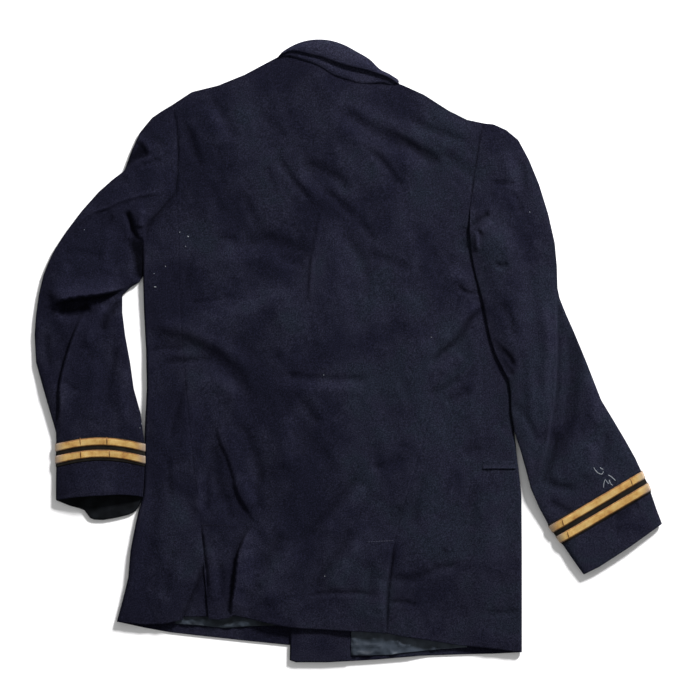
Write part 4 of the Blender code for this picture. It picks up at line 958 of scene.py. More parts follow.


def wool(name, dark, light):
    """Fulled wool: fine fibres, faint twill, cloudy tone, soft nap, painted light and painted fold
    shade.
    """
    look = Look(name, Roughness=0.92, Specular_IOR_Level=0.01, Sheen_Weight=0.02,
                Sheen_Roughness=0.5, Sheen_Tint=(0.5, 0.53, 0.8, 1.0))
    cloud = look.texture("Noise", Scale=11.0, Detail=9.0, Roughness=0.62)
    grain = look.texture("Noise", Scale=600.0, Detail=6.0, Roughness=0.8)
    fuzz = look.texture("Noise", Scale=1500.0, Detail=2.0, Roughness=0.6)
    turned = look.add("Mapping", Vector=look.place, Rotation=(0.0, 0.0, 0.95))
    twill = look.texture("Wave", Vector=turned.outputs["Vector"], Scale=260.0, Distortion=2.2,
                         Detail=2.0)
    apart = look.add("SeparateXYZ", Vector=look.place).outputs
    # Painted light makes the tone lighter towards the right; the tone is also a little darker
    # towards the top.
    cloud_darker_to_top = look.math("MULTIPLY_ADD", apart["Y"], -0.03, cloud)
    cloud_with_painted_light = look.math("MULTIPLY_ADD", apart["X"], 0.24, cloud_darker_to_top)
    greenish = (light[0] * 0.95, light[1] * 1.1, light[2])
    tone = look.ramp(cloud_with_painted_light, (0.42, dark), (0.53, light), (0.62, greenish), (0.70, light))
    speck = look.ramp(grain, (0.35, (0.26, 0.26, 0.28)), (0.50, (0.88, 0.88, 0.90)),
                      (0.66, (2.5, 2.5, 2.5)))
    fibres = look.mix("MULTIPLY", 1.0, tone, speck)
    # Painted shade: the fibres' colour is darkened in the folds and lightened on the ridges, down to
    # a least tone.
    fold = look.math("MULTIPLY_ADD", look.attribute("fold"), PAINTED_FOLD_SHADE, 1.0)
    pressed = look.mix("MULTIPLY", 1.0, fibres, look.math("MAXIMUM", fold, DEEPEST_PAINTED_SHADE))
    weave = look.math("MULTIPLY_ADD", twill, 0.35, grain)
    height = look.math("MULTIPLY_ADD", fuzz, 0.3, weave)
    return look.finish(pressed, height, 0.55, 0.0006)


def lace_material(name, *stops):
    """Woven gold lace: fine cross ribs, tarnished patches, metallic thread."""
    look = Look(name, Metallic=0.45, Roughness=0.5)
    patchy = look.texture("Noise", Scale=55.0, Detail=5.0, Roughness=0.7)
    thread = look.texture("Noise", Scale=900.0, Detail=3.0)
    weave = look.texture("Wave", Scale=330.0, Distortion=0.6, Detail=1.0)
    tone = look.mix("MIX", look.attribute("ends"), look.ramp(patchy, *stops), RUBBED_COLOUR)
    ribs = look.ramp(weave, (0.0, (0.62, 0.6, 0.56)), (0.5, (1.0, 1.0, 1.0)),
                     (1.0, (1.15, 1.15, 1.1)))
    colour = look.mix("MULTIPLY", 0.8, tone, ribs)
    return look.finish(colour, look.math("ADD", weave, thread), 0.6, 0.0005)


def satin(name, dark, light, roughness):
    """Smooth lining or braid with a fine thread."""
    look = Look(name, Roughness=roughness, Specular_IOR_Level=0.5 * (1 - roughness) ** 1.5)
    cloud = look.texture("Noise", Scale=70.0, Detail=5.0)
    thread = look.texture("Wave", Scale=600.0, Distortion=1.0, Detail=1.0)
    return look.finish(look.ramp(cloud, (0.3, dark), (0.7, light)), thread, 0.25, 0.0003)


def gilt(name):
    look = Look(name, Metallic=1.0)
    cloud = look.texture("Noise", Scale=260.0, Detail=4.0)
    rough = look.add("MapRange", Value=cloud, To_Min=0.28, To_Max=0.5)
    look.join(rough.outputs["Result"], look.shader.inputs["Roughness"])
    return look.finish(look.ramp(cloud, (0.3, (0.42, 0.28, 0.10)), (0.7, (0.62, 0.45, 0.18))))


NAVY = wool("navy_wool", (0.0061, 0.0062, 0.0121), (0.0096, 0.0098, 0.0173))
# Painted light: the collar takes a lighter copy of the navy wool, as if lit more strongly than the
# body.
NAVY_COLLAR_PAINTED_LIGHT = wool("navy_collar_painted_light", (0.0112, 0.0116, 0.0216), (0.0150, 0.0153, 0.0264))
LINING_CLOTH = satin("lining_cloth", (0.013, 0.018, 0.026), (0.036, 0.046, 0.062), 0.5)
LINING_SHADED = satin("lining_shaded", (0.005, 0.007, 0.010), (0.026, 0.034, 0.046), 0.6)
BRAID = satin("black_braid", (0.0050, 0.0046, 0.0044), (0.0130, 0.0112, 0.0094), 0.85)
GOLD = lace_material("gold_lace", (0.32, (0.34, 0.16, 0.045)), (0.42, (0.48, 0.27, 0.075)),
                     (0.54, (0.58, 0.38, 0.13)), (0.70, (0.62, 0.45, 0.19)))
GOLD_EDGE = lace_material("gold_edge", (0.35, (0.09, 0.04, 0.012)), (0.50, (0.20, 0.09, 0.024)),
                          (0.68, (0.30, 0.16, 0.045)))
THREAD = satin("dark_thread", (0.006, 0.006, 0.010), (0.014, 0.014, 0.022), 0.9)
PALE_THREAD = satin("pale_thread", (0.020, 0.021, 0.036), (0.050, 0.050, 0.070), 0.9)
WHITE_THREAD = satin("white_thread", (0.22, 0.24, 0.27), (0.42, 0.45, 0.49), 0.9)
SLEEVE_LINING = satin("sleeve_lining", (0.0014, 0.0017, 0.0022), (0.0060, 0.0070, 0.0088), 0.8)


GILT = gilt("satin_gilt")


def dress(thing, name):
    """The piece moves with the garment and stands for its CAD node."""
    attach(thing, "root")
    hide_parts(name)
    PIECES[name] = thing


# Body.

SIDE_LEFT_EDGE = ((-232, -377), (-231, -366), (-214.8, -336), (-204.8, -310), (-203, -296),
                  (-207, -244)) + SEAM_LEFT[3:]


def rows_in_two(left, right, left_break, right_break, low_count, high_count):
    """Matched rows up two edges, which also match where each edge has its break."""
    low = matched(left[:left_break + 1], right[:right_break + 1], low_count)
    high = matched(left[left_break:], right[right_break:], high_count)
    return [np.concatenate((first, second[1:])) for first, second in zip(low, high)]


def make_back():
    left = shifted(SEAM_LEFT, SEWN, 0) + shifted(ARMHOLE_LEFT[5:], SEWN, 0)
    right = shifted(SEAM_RIGHT, -SEWN, 0) + shifted(ARMHOLE_RIGHT[4:], -SEWN, 0)
    left, right = rows_in_two(left, right, 8, 9, 24, 12)
    top = list(SHOULDER_LEFT) + list(NECK[1:-1]) + list(reversed(SHOULDER_RIGHT))
    top[0] = tuple(left[-1])
    top[-1] = tuple(right[-1])
    patch = Patch(left, right, HEM_BACK, top, 6.0, 5.0)
    made = panel("back_cloth", patch, body_top, ("seam", "seam", "edge", "shoulder"), NAVY)
    dress(made, "back")


BEND_ROOM = 1.35       # the bend of a side's fold takes this many radii on each layer


def make_side(side, fold, seam, under, hem, armhole, top_seam, top_under, inward):
    seam_edge = shifted(seam, inward * -SEWN, 0)
    under_edge = shifted(under, inward * 0.1, 0)
    folded, seamed = matched(fold, seam_edge, 60)
    folded_low, undered = matched(fold, under_edge, 60)
    upper = Patch(folded, seamed, hem, piece_of(armhole, armhole[0], top_seam), 6.0, 6.0)
    lower = Patch(folded_low, undered, [fold[0], under[0]],
                  piece_of(armhole, armhole[0], top_under), 6.0, 6.0)
    vs = marks_along(upper.length, STEP)
    outer = []
    inner = []
    spread = marks_along(mean_width(upper), STEP)[::-1]
    for v in vs:
        wide_up = upper.width(v)
        wide_low = lower.width(v)
        edge = upper.at([0.0], v)[0]
        radius = (float(body_level(edge[0], edge[1])) + CLOTH) / 2
        start = BEND_ROOM * radius / wide_up
        across = start + (1 - start) * (spread - spread[-1]) / (spread[0] - spread[-1])
        plan = upper.at(across, v)
        gaps = ((1 - across) * wide_up, np.full(len(across), v * upper.length),
                np.full(len(across), (1 - v) * upper.length))
        outs, ins = bent_in(body_top(plan[:, 0], plan[:, 1]), gaps, ("seam", "edge", "seam"), THIN)
        row_out = [np.column_stack((plan, outs))]
        row_in = [np.column_stack((plan, ins))]
        lift = float(outs[-1]) - 2 * radius
        for degrees in (65, 40, 15, -15, -40, -65):
            angle = np.radians(degrees)
            share = max(np.sin(angle), 0.0) ** 2
            for bend, rows in ((radius, row_out), (radius - THIN, row_in)):
                away = radius - bend * np.cos(angle)
                chosen, wide = (upper, wide_up) if degrees > 0 else (lower, wide_low)
                place = chosen.at([away / wide], v)
                height = radius + bend * np.sin(angle) + lift * share
                rows.append(np.column_stack((place, [height])))
        below = np.linspace(BEND_ROOM * radius / wide_low, 1, 9)
        place = lower.at(below, v)
        row_out.append(np.column_stack((place, np.zeros(len(below)))))
        row_in.append(np.column_stack((place, np.full(len(below), THIN))))
        outer.append(np.concatenate(row_out))
        inner.append(np.concatenate(row_in))
    made = wall("side_" + side + "_cloth", np.asarray(outer), np.asarray(inner), NAVY, False)
    dress(made, "side_" + side)


def ends(curve, left, right):
    table = [tuple(point) for point in curve]
    table[0] = tuple(left[-1])
    table[-1] = tuple(right[-1])
    return table


def make_fronts():
    left = shifted(UNDER_LEFT, -0.1, 0) + shifted(ARMHOLE_LEFT[3:], 0.6, 0)
    side, edge = rows_in_two(left, EDGE_LEFT, 7, 5, 18, 14)
    hem = [tuple(side[0])] + list(HEM_FRONT_LEFT[1:])
    patch = Patch(side, edge, hem, ends(SHOULDER_LEFT, side, edge), 6.0, 5.0)
    made = panel("front_left_cloth", patch, lambda x, y: front_rise(x, y) + THIN,
                 HEMMED, NAVY, spacing=6.0)
    dress(made, "front_left")
    right = shifted(UNDER_RIGHT, 0.1, 0) + shifted(ARMHOLE_RIGHT[2:], -0.6, 0)
    side, edge = rows_in_two(right, EDGE_RIGHT, 8, 4, 18, 14)
    top = ends(list(reversed(SHOULDER_RIGHT)), edge, side)
    hem = list(HEM_FRONT_RIGHT[:-1]) + [tuple(side[0])]
    patch = Patch(edge, side, hem, top, 6.0, 5.0)
    made = panel("front_right_cloth", patch, lambda x, y: right_front_base(x, y) + THIN,
                 HEMMED, NAVY, spacing=6.0)
    dress(made, "front_right")


# Sleeves.

OVER = 56              # points across the upper layer of a sleeve
UNDER = 20             # points across its lower layer
CROWN_LIFT = 1.6       # the fine sleeve is fuller than the CAD one by this much
# How far the inner edge of the left sleeve is drawn out, and the right one's drawn in, at the
# heights of the plan given.
REACH_Y = (-400, -125, -105, 84, 100, 158, 166, 172, 177)
REACH = (2.8, 2.8, 0.0, 0.0, 5.0, 5.8, 5.8, 5.0, 1.6)
REACH_RIGHT_Y = (-122, -106, 20, 60)
REACH_RIGHT = (0.0, 2.4, 2.0, 0.0)


def reached(cuff):
    """The cuff's edge drawn out with the sleeve's inner edge, to lie against the body."""
    shares = lengths(cuff)
    return [(x + REACH[0] * share, y) for (x, y), share in zip(cuff, shares)]


def sleeve_patches(rows, armhole, upper_cuff, under_cuff, arch):
    table = np.array(rows, float)[::-1]
    outer = table[:, :2]
    inner = table[:, 2:]
    if arch:
        inner[:, 0] += np.interp(inner[:, 1], REACH_Y, REACH)
        armhole = [(x + float(np.interp(y, REACH_Y, REACH)), y) for x, y in armhole]
        upper_cuff = reached(upper_cuff)
        under_cuff = reached(under_cuff)
    else:
        inner[:, 0] -= np.interp(inner[:, 1], REACH_RIGHT_Y, REACH_RIGHT)
    upper = Patch(outer, inner, upper_cuff, armhole, 22.0, 7.0, arch)
    lower = Patch(outer, inner, under_cuff, armhole, 22.0, 7.0)
    return upper, lower


SET_IN = {"left": -0.7, "right": 0.1}     # a sleeve's outside over the body's, at the armhole
FLATTER = 0.42         # share of a sleeve's height that is pressed out where it lies on the body
CALMER = 0.4           # share of its creases that is
TURN_POINTS = 6        # points round each fold of a sleeve


def ring(upper, lower, v, offset, part, support, gape):
    """One fine loop round a sleeve at v, moved out from its outside by offset."""
    marks = upper.marks
    wide = upper.width(v)
    half = SLEEVE_HIGH / 2
    bend = half + offset
    slants = (upper.slant(v, 0), upper.slant(v, 1))
    first = max(0.06, 1.3 * half * slants[0] / wide)
    last = 1 - max(0.06, 1.3 * half * slants[1] / wide)
    angles = np.radians([66, 42, 16])
    rise = CUFF_RISE * (1 - smooth((v - marks[7]) / (marks[10] - marks[7])))
    mouth = gape * smooth(1 - v / marks[2])

    def arc(patch, turns, end):
        away = (half - bend * np.cos(turns)) * slants[end]
        share = away / wide
        plan = patch.at(1 - share if end else share, v)
        return plan, half + bend * np.sin(turns), np.clip(np.sin(turns), 0, 1) ** 2

    spread = np.linspace(first, last, OVER)
    spread_low = np.linspace(last, first, UNDER)
    parts = [(upper.at(spread, v), np.full(OVER, half + bend), np.ones(OVER)),
             arc(upper, angles, 1), arc(lower, -angles[::-1], 1),
             (lower.at(spread_low, v), np.full(UNDER, half - bend), np.zeros(UNDER)),
             arc(lower, -angles, 0), arc(upper, angles[::-1], 0)]
    plan = np.concatenate([entry[0] for entry in parts])
    height = np.concatenate([entry[1] for entry in parts])
    share = np.concatenate([entry[2] for entry in parts])
    x = plan[:, 0]
    y = plan[:, 1]
    crown = np.zeros(len(x))
    crown[:OVER] = np.sin(np.pi * spread) * (SLEEVE_CROWN + CROWN_LIFT + mouth)
    near_end = smooth((1 - v) * upper.length / 26) * smooth(v / marks[1] * 0.5 + 0.35)
    uneven = creases(x, y, part) + slack(x, y, part)
    uneven = soft_floor(uneven, 2 * THIN + 1.0 + offset - height - crown) * share * near_end
    carried = support(x, y)
    from_inner = np.full(len(x), wide)
    from_inner[:OVER] = (1 - spread) * wide
    from_inner[OVER:OVER + TURN_POINTS] = 0.0
    below = OVER + TURN_POINTS
    from_inner[below:below + UNDER] = (1 - spread_low) * wide
    near_edge = smooth(1 - from_inner / 34) if part == "right" else 0.0
    near_body = np.maximum(smooth((v - 1) * upper.length / 80 + 1), near_edge)
    near_body = near_body * smooth(carried / 6)
    height = (height + crown) * (1 - FLATTER * near_body) + uneven * (1 - CALMER * near_body)
    height = height + rise + carried
    joined = smooth((v - 1) * upper.length / 45 + 1) * share
    if part == "right":
        joined = joined * smooth((from_inner - 8) / 30)
    goal = body_top(x, y) + SET_IN[part] + offset
    height = height + joined * (goal - height)
    return np.column_stack((x, y, height))


def allowance(last, before, shift):
    """Rows of the seam allowance that runs in under the body from a sleeve's last loop."""
    way = last[:, :2] - before[:, :2]
    way /= np.linalg.norm(way, axis=1)[:, None]
    high = smooth((last[:, 2] - 1.5) / 3.0)
    rows = []
    for reach, drop in ((0.7, 0.35), (1.6, 1.0), (4.0, 1.0), (7.0, 1.0)):
        moved = last.copy()
        moved[:, :2] += way * (reach * (0.3 + 0.7 * high))[:, None]
        tucked = body_level(moved[:, 0], moved[:, 1]) - 0.35 + shift
        tucked = np.minimum(tucked, last[:, 2])
        moved[:, 2] += (tucked - moved[:, 2]) * drop * high
        rows.append(moved)
    return rows


def line_inside(made):
    """The inner half of a sleeve's faces shows its black lining."""
    made.data.materials.append(SLEEVE_LINING)
    count = OVER + UNDER + 2 * TURN_POINTS
    whole = (len(made.data.polygons) - 2 * count) // 2
    for face in range(whole, 2 * whole):
        made.data.polygons[face].material_index = 1


def edge_rows(made, rows, columns):
    """The outermost rows of the lace take its darker woven edge."""
    made.data.materials.append(GOLD_EDGE)
    for row in (0, rows - 2):
        for face in range(row * columns, (row + 1) * columns):
            made.data.polygons[face].material_index = 1


def make_sleeve(side, rows, armhole, upper_cuff, under_cuff, support, arch, gape):
    upper, lower = sleeve_patches(rows, armhole, upper_cuff, under_cuff, arch)
    marks = upper.marks
    vs = marks_along(upper.length, 2.4, (0.0, 0.7, 1.6, 3.0))
    loops = []
    for shift in (0.0, -THIN):
        loops.append([ring(upper, lower, v, shift, side, support, gape) for v in vs])
    middle = (loops[0][0] + loops[1][0]) / 2
    loops[0][0] = middle * 0.55 + loops[0][0] * 0.45
    loops[1][0] = middle * 0.55 + loops[1][0] * 0.45
    for shift, rings in zip((0.0, -THIN), loops):
        rings += allowance(rings[-1], rings[-5], shift)
    made = wall("sleeve_" + side + "_cloth", np.asarray(loops[0]), np.asarray(loops[1]), NAVY,
                True)
    if side == "left":
        line_inside(made)
    dress(made, "sleeve_" + side)

    def band(name, low, high, inside, outside, paint, node_name):
        rim = min(1.5 / upper.length, (high - low) * 0.2)
        stations = np.concatenate(([low], np.linspace(low + rim, high - rim, 7), [high]))
        edge = 0.35 * (outside - inside)
        outs = []
        ins = []
        for index, v in enumerate(stations):
            tuck = edge if index in (0, len(stations) - 1) else 0.0
            outs.append(ring(upper, lower, v, outside - tuck, side, support, gape))
            ins.append(ring(upper, lower, v, inside, side, support, gape))
        made = wall(name, np.asarray(outs), np.asarray(ins), paint, True)
        if paint == GOLD:
            edge_rows(made, len(outs), len(outs[0]))
            mark_ends(made)
        dress(made, node_name)

    backing = LACE_GAP + LACE_BACKING
    spread = 1.5 / upper.length
    below = (4.4 if side == "left" else 2.6) / upper.length
    band("cuff_backing_" + side + "_braid", marks[2] - below, marks[5] + spread, 0.1,
         backing, BRAID, "cuff_backing_" + side)
    for label, first, second in (("lower", 2, 3), ("upper", 4, 5)):
        band("lace_" + label + "_" + side + "_weave", marks[first], marks[second],
             backing + 0.1, backing + LACE_GAP + LACE, GOLD, "lace_" + label + "_" + side)


# Collar.

def smooth_table(table, count):
    """More rows through the same rows, on a smooth curve."""
    table = np.asarray(table, float)
    steps = np.linalg.norm(np.diff(table[:, 3:6], axis=0), axis=1)
    steps += 0.5 * np.linalg.norm(np.diff(table[:, 0:3], axis=0), axis=1)
    marks = np.concatenate(([0.0], np.cumsum(steps)))
    slopes = np.gradient(table, marks, axis=0)
    found = []
    for place in np.linspace(0, marks[-1], count):
        index = min(np.searchsorted(marks, place, side="right") - 1, len(marks) - 2)
        span = marks[index + 1] - marks[index]
        t = (place - marks[index]) / span
        found.append((2 * t ** 3 - 3 * t ** 2 + 1) * table[index]
                     + (t ** 3 - 2 * t ** 2 + t) * span * slopes[index]
                     + (3 * t ** 2 - 2 * t ** 3) * table[index + 1]
                     + (t ** 3 - t ** 2) * span * slopes[index + 1])
    return np.asarray(found)


def collar_section(row):
    seam, crease, free, lift = row[0:3], row[3:6], row[6:9], row[9:12]
    reach = crease - seam
    reach = reach / np.linalg.norm(reach)
    lift = lift - reach * np.dot(lift, reach)
    lift = lift / np.linalg.norm(lift)
    centre = crease - reach * COLLAR_BEND
    foot = centre - lift * COLLAR_BEND
    path = [seam - reach * 4.0 - np.array([0.0, 0.0, 2.2]), seam - reach * 1.6]
    path += [seam + (foot - seam) * share for share in np.linspace(0.08, 1, 8)]
    for degrees in (-60, -30, 0, 30, 60):
        angle = np.radians(degrees)
        path.append(centre + COLLAR_BEND * (reach * np.cos(angle) + lift * np.sin(angle)))
    start = centre + lift * COLLAR_BEND
    for share in np.linspace(0, 1, 14):
        bulge = 1.3 * np.sin(np.pi * share) * np.array([0, 0, 1]) * max(lift[2], 0)
        path.append(start + (free - start) * share + bulge)
    path = np.asarray(path)
    tangent = np.gradient(path, axis=0)
    tangent /= np.linalg.norm(tangent, axis=1)[:, None]
    normal = np.cross(tangent, np.cross(reach, lift))
    normal /= np.linalg.norm(normal, axis=1)[:, None]
    half = np.full(len(path), COLLAR_CLOTH / 2)
    half[-1] = 0.35
    half[-2] = 0.9
    half[0] = 0.6
    return path + normal * half[:, None], path - normal * half[:, None]


def make_collar():
    sections = [collar_section(row) for row in smooth_table(COLLAR_ROWS, 190)]
    outer = np.asarray([section[0] for section in sections])
    inner = np.asarray([section[1] for section in sections])
    dress(wall("collar_cloth", outer, inner, NAVY_COLLAR_PAINTED_LIGHT, False), "collar")


# Small pieces.

# Columns: left edge x y, right edge x y, from the fold's lower end up.
LAPEL_ROWS = (
    ("lapel_left", ((52, 79, 49, 81), (26, 84, 40, 103), (-20, 109, 22, 141),
                    (-68, 161, -4, 204), (-105, 223, -20, 240), (-124, 257, -33, 269),
                    (-138, 289, -48, 300), (-141, 297, -54, 312), (-113, 312, -62, 327))),
    ("lapel_right", ((45, 127, 52, 133), (30, 158, 72, 180), (13, 200, 84, 210),
                     (3, 226, 98, 245), (27, 284, 121, 289), (36, 301, 126, 301),
                     (44, 315, 98, 306))),
)


def make_lapels():
    """The turned-back lapels, as flat leaves with rounded edges."""
    for name, rows in LAPEL_ROWS:
        table = np.asarray(rows, float)
        patch = Patch(table[:, :2], table[:, 2:], [table[0, :2], table[0, 2:]],
                      [table[-1, :2], table[-1, 2:]])
        made = panel(name + "_cloth", patch, lambda x, y: np.full(np.shape(x), LAPEL),
                     HEMMED, NAVY, LAPEL, 5.0)
        dress(made, name)


STRIP_CLOTH = {"facing_right": NAVY, "lining_right": LINING_CLOTH, "lining_left": LINING_SHADED}
STRIP_TOP = 0.3 + LINING + 0.2     # top of a flat strip over the front's cloth


def make_hem_strips():
    for name, lower_edge, upper_left, upper_right in HEM_STRIPS:
        left = [lower_edge[0], upper_left]
        right = [lower_edge[-1], upper_right]
        patch = Patch(*matched(left, right, 2), list(lower_edge), [upper_left, upper_right], 2.0)

        def top(x, y, lined=name):
            base = front_rise(x, y) if lined == "lining_left" else right_front_base(x, y)
            if lined == "facing_right":
                return base + CLOTH + STRIP_TOP
            wrinkle = 1.5 - 3.4 * np.abs(noise(x, y * 1.4, 13, 71))
            wrinkle = wrinkle + 0.9 - 2.0 * np.abs(noise(x + y, x - y, 9, 72))
            return base + CLOTH + STRIP_TOP + np.maximum(wrinkle, -0.3)

        dress(panel(name + "_cloth", patch, top, HEMMED, STRIP_CLOTH[name], LINING), name)


def underlap_top(x, y):
    """Close beneath the back where it can be, or resting on the lining."""
    low = fronts_top(x, y) + 2.2 + UNDERLAP
    return np.maximum(low, np.minimum(low + 2.6, body_top(x, y) - THIN - 0.4))


UNDERLAP_ON = 26       # how far an underlap runs on beneath the back, on its right


def make_underlaps():
    for name, left_low, right_low, right_top, left_top in UNDERLAPS:
        right_low = (right_low[0] + UNDERLAP_ON, right_low[1])
        right_top = (right_top[0] + UNDERLAP_ON, right_top[1])
        patch = Patch([left_low, left_top], [right_low, right_top], [left_low, right_low],
                      [left_top, right_top])
        dress(panel(name + "_cloth", patch, underlap_top, HEMMED, NAVY,
                    UNDERLAP, 4.0), name)


def make_pocket():
    name, x0, y0, x1, y1 = POCKET
    patch = Patch([(x0, y0), (x0, y1)], [(x1 + 2, y0), (x1, y1)], [(x0, y0), (x1 + 2, y0)],
                  [(x0, y1), (x1, y1)])
    dress(panel(name + "_cloth", patch,
                lambda x, y: body_top(x, y) + 0.5 + 1.6 * smooth((-159 - y) / 7),
                HEMMED, NAVY, 1.0, 1.6), name)


def make_buttons():
    """Plain round buttons: a rim, a shallow dish and a low dome, face down."""
    profile = ((0.0, 0.5), (5.0, 0.35), (8.6, 0.2), (9.4, 0.45), (10.2, 0.05), (11.0, 0.1),
               (11.5, 0.8), (11.4, 1.7), (10.6, 2.4), (0.0, 2.5))
    count = 40
    turns = 2 * np.pi * np.arange(count) / count
    for number, (x, y) in enumerate(BUTTONS, start=1):
        rings = []
        for radius, height in profile:
            radius = max(radius, 0.05)
            rings.append(np.column_stack((x + radius * np.cos(turns), y + radius * np.sin(turns),
                                          np.full(count, height))))
        points = np.concatenate(rings)
        faces = facing_out(points, grid_faces(len(profile), count, count))
        dress(make_mesh(f"button_{number}_metal", points, faces, GILT), f"button_{number}")


make_back()
make_side("left", FOLD_LEFT, SIDE_LEFT_EDGE, UNDER_LEFT,
          ((-325, -380), (-286, -384), (-262, -383), (-240, -379), (-232, -377)),
          ARMHOLE_LEFT, (-242, 222), (-263, 195), 1)
make_side("right", FOLD_RIGHT, SEAM_RIGHT, UNDER_RIGHT, HEM_SIDE_RIGHT, ARMHOLE_RIGHT,
          (168, 175), (186, 142), -1)
make_fronts()
make_sleeve("left", SLEEVE_LEFT_ROWS, ARM_LEFT, CUFF_LEFT_UPPER, CUFF_LEFT_UNDER,
            lambda x, y: np.zeros(len(x)), LACE_ARCH, 7.0)
make_sleeve("right", SLEEVE_RIGHT_ROWS, ARM_RIGHT, CUFF_RIGHT, CUFF_RIGHT, support_right,
            None, 0.0)
make_collar()
make_lapels()
make_hem_strips()
make_underlaps()
make_pocket()
make_buttons()


# Threads, stitches and lint that lie on the cloth.

def surface_tree():
    points = []
    faces = []
    for name in ("back", "side_left", "sleeve_left", "sleeve_right", "lace_upper_left",
                 "lace_lower_left", "lace_upper_right", "lace_lower_right"):
        thing = PIECES[name]
        start = len(points)
        points += [thing.matrix_world @ vertex.co for vertex in thing.data.vertices]
        faces += [tuple(start + index for index in face.vertices)
                  for face in thing.data.polygons]
    return BVHTree.FromPolygons(points, faces)


TREE = surface_tree()


def height_at(x, y):
    """Top of the cloth over a place, in millimetres."""
    place = Vector(((x - MIDDLE_X) * MM, (y - MIDDLE_Y) * MM, 0.2))
    hit = TREE.ray_cast(place, Vector((0, 0, -1)))[0]
    return 0.0 if hit is None else hit.z / MM


THREAD_SIDES = 6


def tube(points, radius):
    """Grid of a thin round thread through points."""
    points = np.asarray(points, float)
    tangent = np.gradient(points, axis=0)
    tangent /= np.linalg.norm(tangent, axis=1)[:, None]
    up = np.array([0.0, 0.0, 1.0])
    across = np.cross(tangent, up)
    across /= np.maximum(np.linalg.norm(across, axis=1), 1e-6)[:, None]
    over = np.cross(across, tangent)
    turns = 2 * np.pi * np.arange(THREAD_SIDES) / THREAD_SIDES
    return (points[:, None] + radius * (across[:, None] * np.cos(turns)[None, :, None]
                                        + over[:, None] * np.sin(turns)[None, :, None]))


def threads(name, runs, radius, paint):
    """One piece of several threads; each run is a list of plan points in millimetres."""
    points = []
    faces = []
    for run in runs:
        curve = rounded(run, 5) if len(run) > 2 else along(run, np.linspace(0, 1, 5))
        heights = [height_at(x, y) for x, y in curve]
        line = np.column_stack((curve, np.asarray(heights) + radius * 0.5))
        grid = tube(line, radius)
        grid[0] = line[0] + (grid[0] - line[0]) * 0.3
        grid[-1] = line[-1] + (grid[-1] - line[-1]) * 0.3
        faces.append(grid_faces(len(grid), THREAD_SIDES, THREAD_SIDES, len(points)))
        points += list(grid.reshape(-1, 3))
    made = make_mesh(name, points, np.concatenate(faces), paint)
    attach(made, "root")


def stitches(start, end, length, pitch):
    """Short straight stitches from start to end."""
    start = np.asarray(start, float)
    end = np.asarray(end, float)
    total = np.linalg.norm(end - start)
    way = (end - start) / total
    return [[tuple(start + way * place), tuple(start + way * (place + length))]
            for place in np.arange(0, total - length, pitch)]


# Painted shade: each cloth's tone is darkened in its folds and lightened on its ridges, and the left
# vent's underlap is darkened along the edges that lie over it.
for cloth, part in (("back", "body"), ("side_left", "body"), ("side_right", "body"),
                    ("sleeve_left", "left"), ("sleeve_right", "right"),
                    ("vent_underlap_left", "body")):
    paint_fold_shade(PIECES[cloth], part)

# Columns: name, thread, first and last point in the photograph, stitch length and pitch.
VENT_STITCHES = (("vent_stitches_left", THREAD, (202, 524.7), (234, 525.4), 2.4, 3.4),
                 ("vent_stitches_right", PALE_THREAD, (368, 541.4), (393.4, 540.2), 2.8, 3.6))
for name, paint, first, second, length, pitch in VENT_STITCHES:
    threads(name, stitches(*photo((first, second)), length, pitch), 0.42, paint)

LACE_JOINS = (((80.6, 437.4), (81.2, 444.8)), ((107.4, 436.8), (107.8, 444.6)),
              ((81.0, 450.4), (81.6, 457.6)), ((110.0, 449.2), (110.4, 457.0)),
              ((561.6, 519.2), (563.6, 526.4)), ((629.6, 477.4), (632.0, 484.8)),
              ((566.6, 531.0), (569.0, 537.8)))
threads("lace_joins", [photo(run) for run in LACE_JOINS], 0.6, GOLD_EDGE)

LOOSE_THREADS = (
    ((593, 467), (595, 470), (598, 473), (601.5, 473.8), (603, 471)),
    ((599.6, 467), (601, 468.6), (603, 469)),
    ((603, 487.5), (603.4, 483), (604.6, 479)),
    ((604.8, 479), (608, 483.4), (608.8, 479.5)),
    ((608.8, 479.5), (610.6, 484), (612.4, 485)),
    ((607.6, 474.6), (610, 476), (613, 478.4), (615, 480.4)),
)
threads("loose_threads", [photo(run) for run in LOOSE_THREADS], 0.3, WHITE_THREAD)

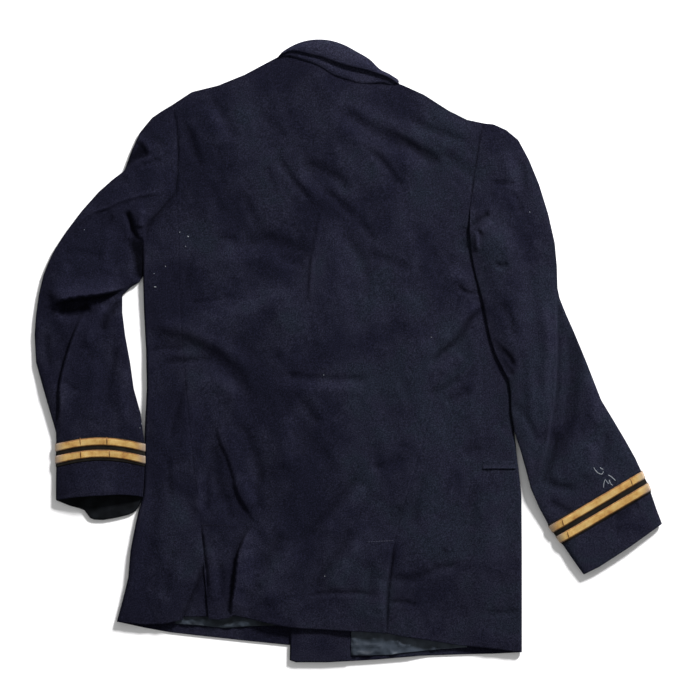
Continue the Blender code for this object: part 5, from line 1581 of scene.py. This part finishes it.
# Columns: place in the photograph, length in millimetres.
LINT = ((179.6, 232.6, 1.2), (189, 237, 2.4), (186, 246, 1.0), (154, 273.5, 1.2),
        (165.7, 266.7, 1.0), (156.7, 287, 3.6), (84.7, 229.4, 1.2), (323.5, 375, 1.0),
        (529.7, 212.6, 1.2), (431.4, 337, 1.0), (324.5, 575.5, 1.0), (141.6, 424, 1.0),
        (140.5, 428, 1.0))
runs = []
for index, (px, py, long) in enumerate(LINT):
    x, y = photo(((px, py),))[0]
    turn = 0.9 + 1.7 * index
    runs.append([(x, y), (x + long * np.cos(turn), y + long * np.sin(turn))])
threads("lint", runs, 0.36, WHITE_THREAD)


# Surface, light and camera.

PALE = (0.93, 0.93, 0.93, 1.0)
WHITE = (1.0, 1.0, 1.0, 1.0)


def make_stage():
    bpy.ops.mesh.primitive_plane_add(size=30.0, location=(0.0, 0.0, -0.0006))
    floor = bpy.context.object
    floor.name = "pale_surface"
    floor.data.materials.append(Look("pale_surface", Roughness=0.9).finish(PALE))


def area_light(name, place, aim, size, power, colour):
    light = bpy.data.lights.new(name, "AREA")
    light.shape = "DISK"
    light.size = size
    light.energy = power
    light.color = colour
    made = bpy.data.objects.new(name, light)
    made.location = place
    made.rotation_euler = (Vector(aim) - Vector(place)).to_track_quat("-Z", "Y").to_euler()
    bpy.context.scene.collection.objects.link(made)


def make_light():
    world = bpy.data.worlds.new("soft_white")
    world.use_nodes = True
    background = world.node_tree.nodes["Background"]
    background.inputs["Color"].default_value = WHITE
    background.inputs["Strength"].default_value = 0.42
    bpy.context.scene.world = world
    bpy.context.scene.view_settings.view_transform = "Standard"
    area_light("key", (2.3, 3.5, 2.6), (0, 0, 0), 1.0, 540, (1.0, 0.99, 1.0))


CAMERA_HEIGHT = 6.0
VIEW_WIDTH = 700 * PIXEL * MM
VIEW_CENTRE = (((350 - PHOTO_MIDDLE[0]) * PIXEL - MIDDLE_X) * MM, -MIDDLE_Y * MM)


def make_camera():
    data = bpy.data.cameras.new("camera")
    data.sensor_width = 36.0
    data.lens = 36.0 * CAMERA_HEIGHT / VIEW_WIDTH
    data.clip_end = 60.0
    made = bpy.data.objects.new("camera", data)
    made.location = (VIEW_CENTRE[0], VIEW_CENTRE[1], CAMERA_HEIGHT)
    bpy.context.scene.collection.objects.link(made)
    bpy.context.scene.camera = made


make_stage()
make_light()
make_camera()
bpy.context.view_layer.update()
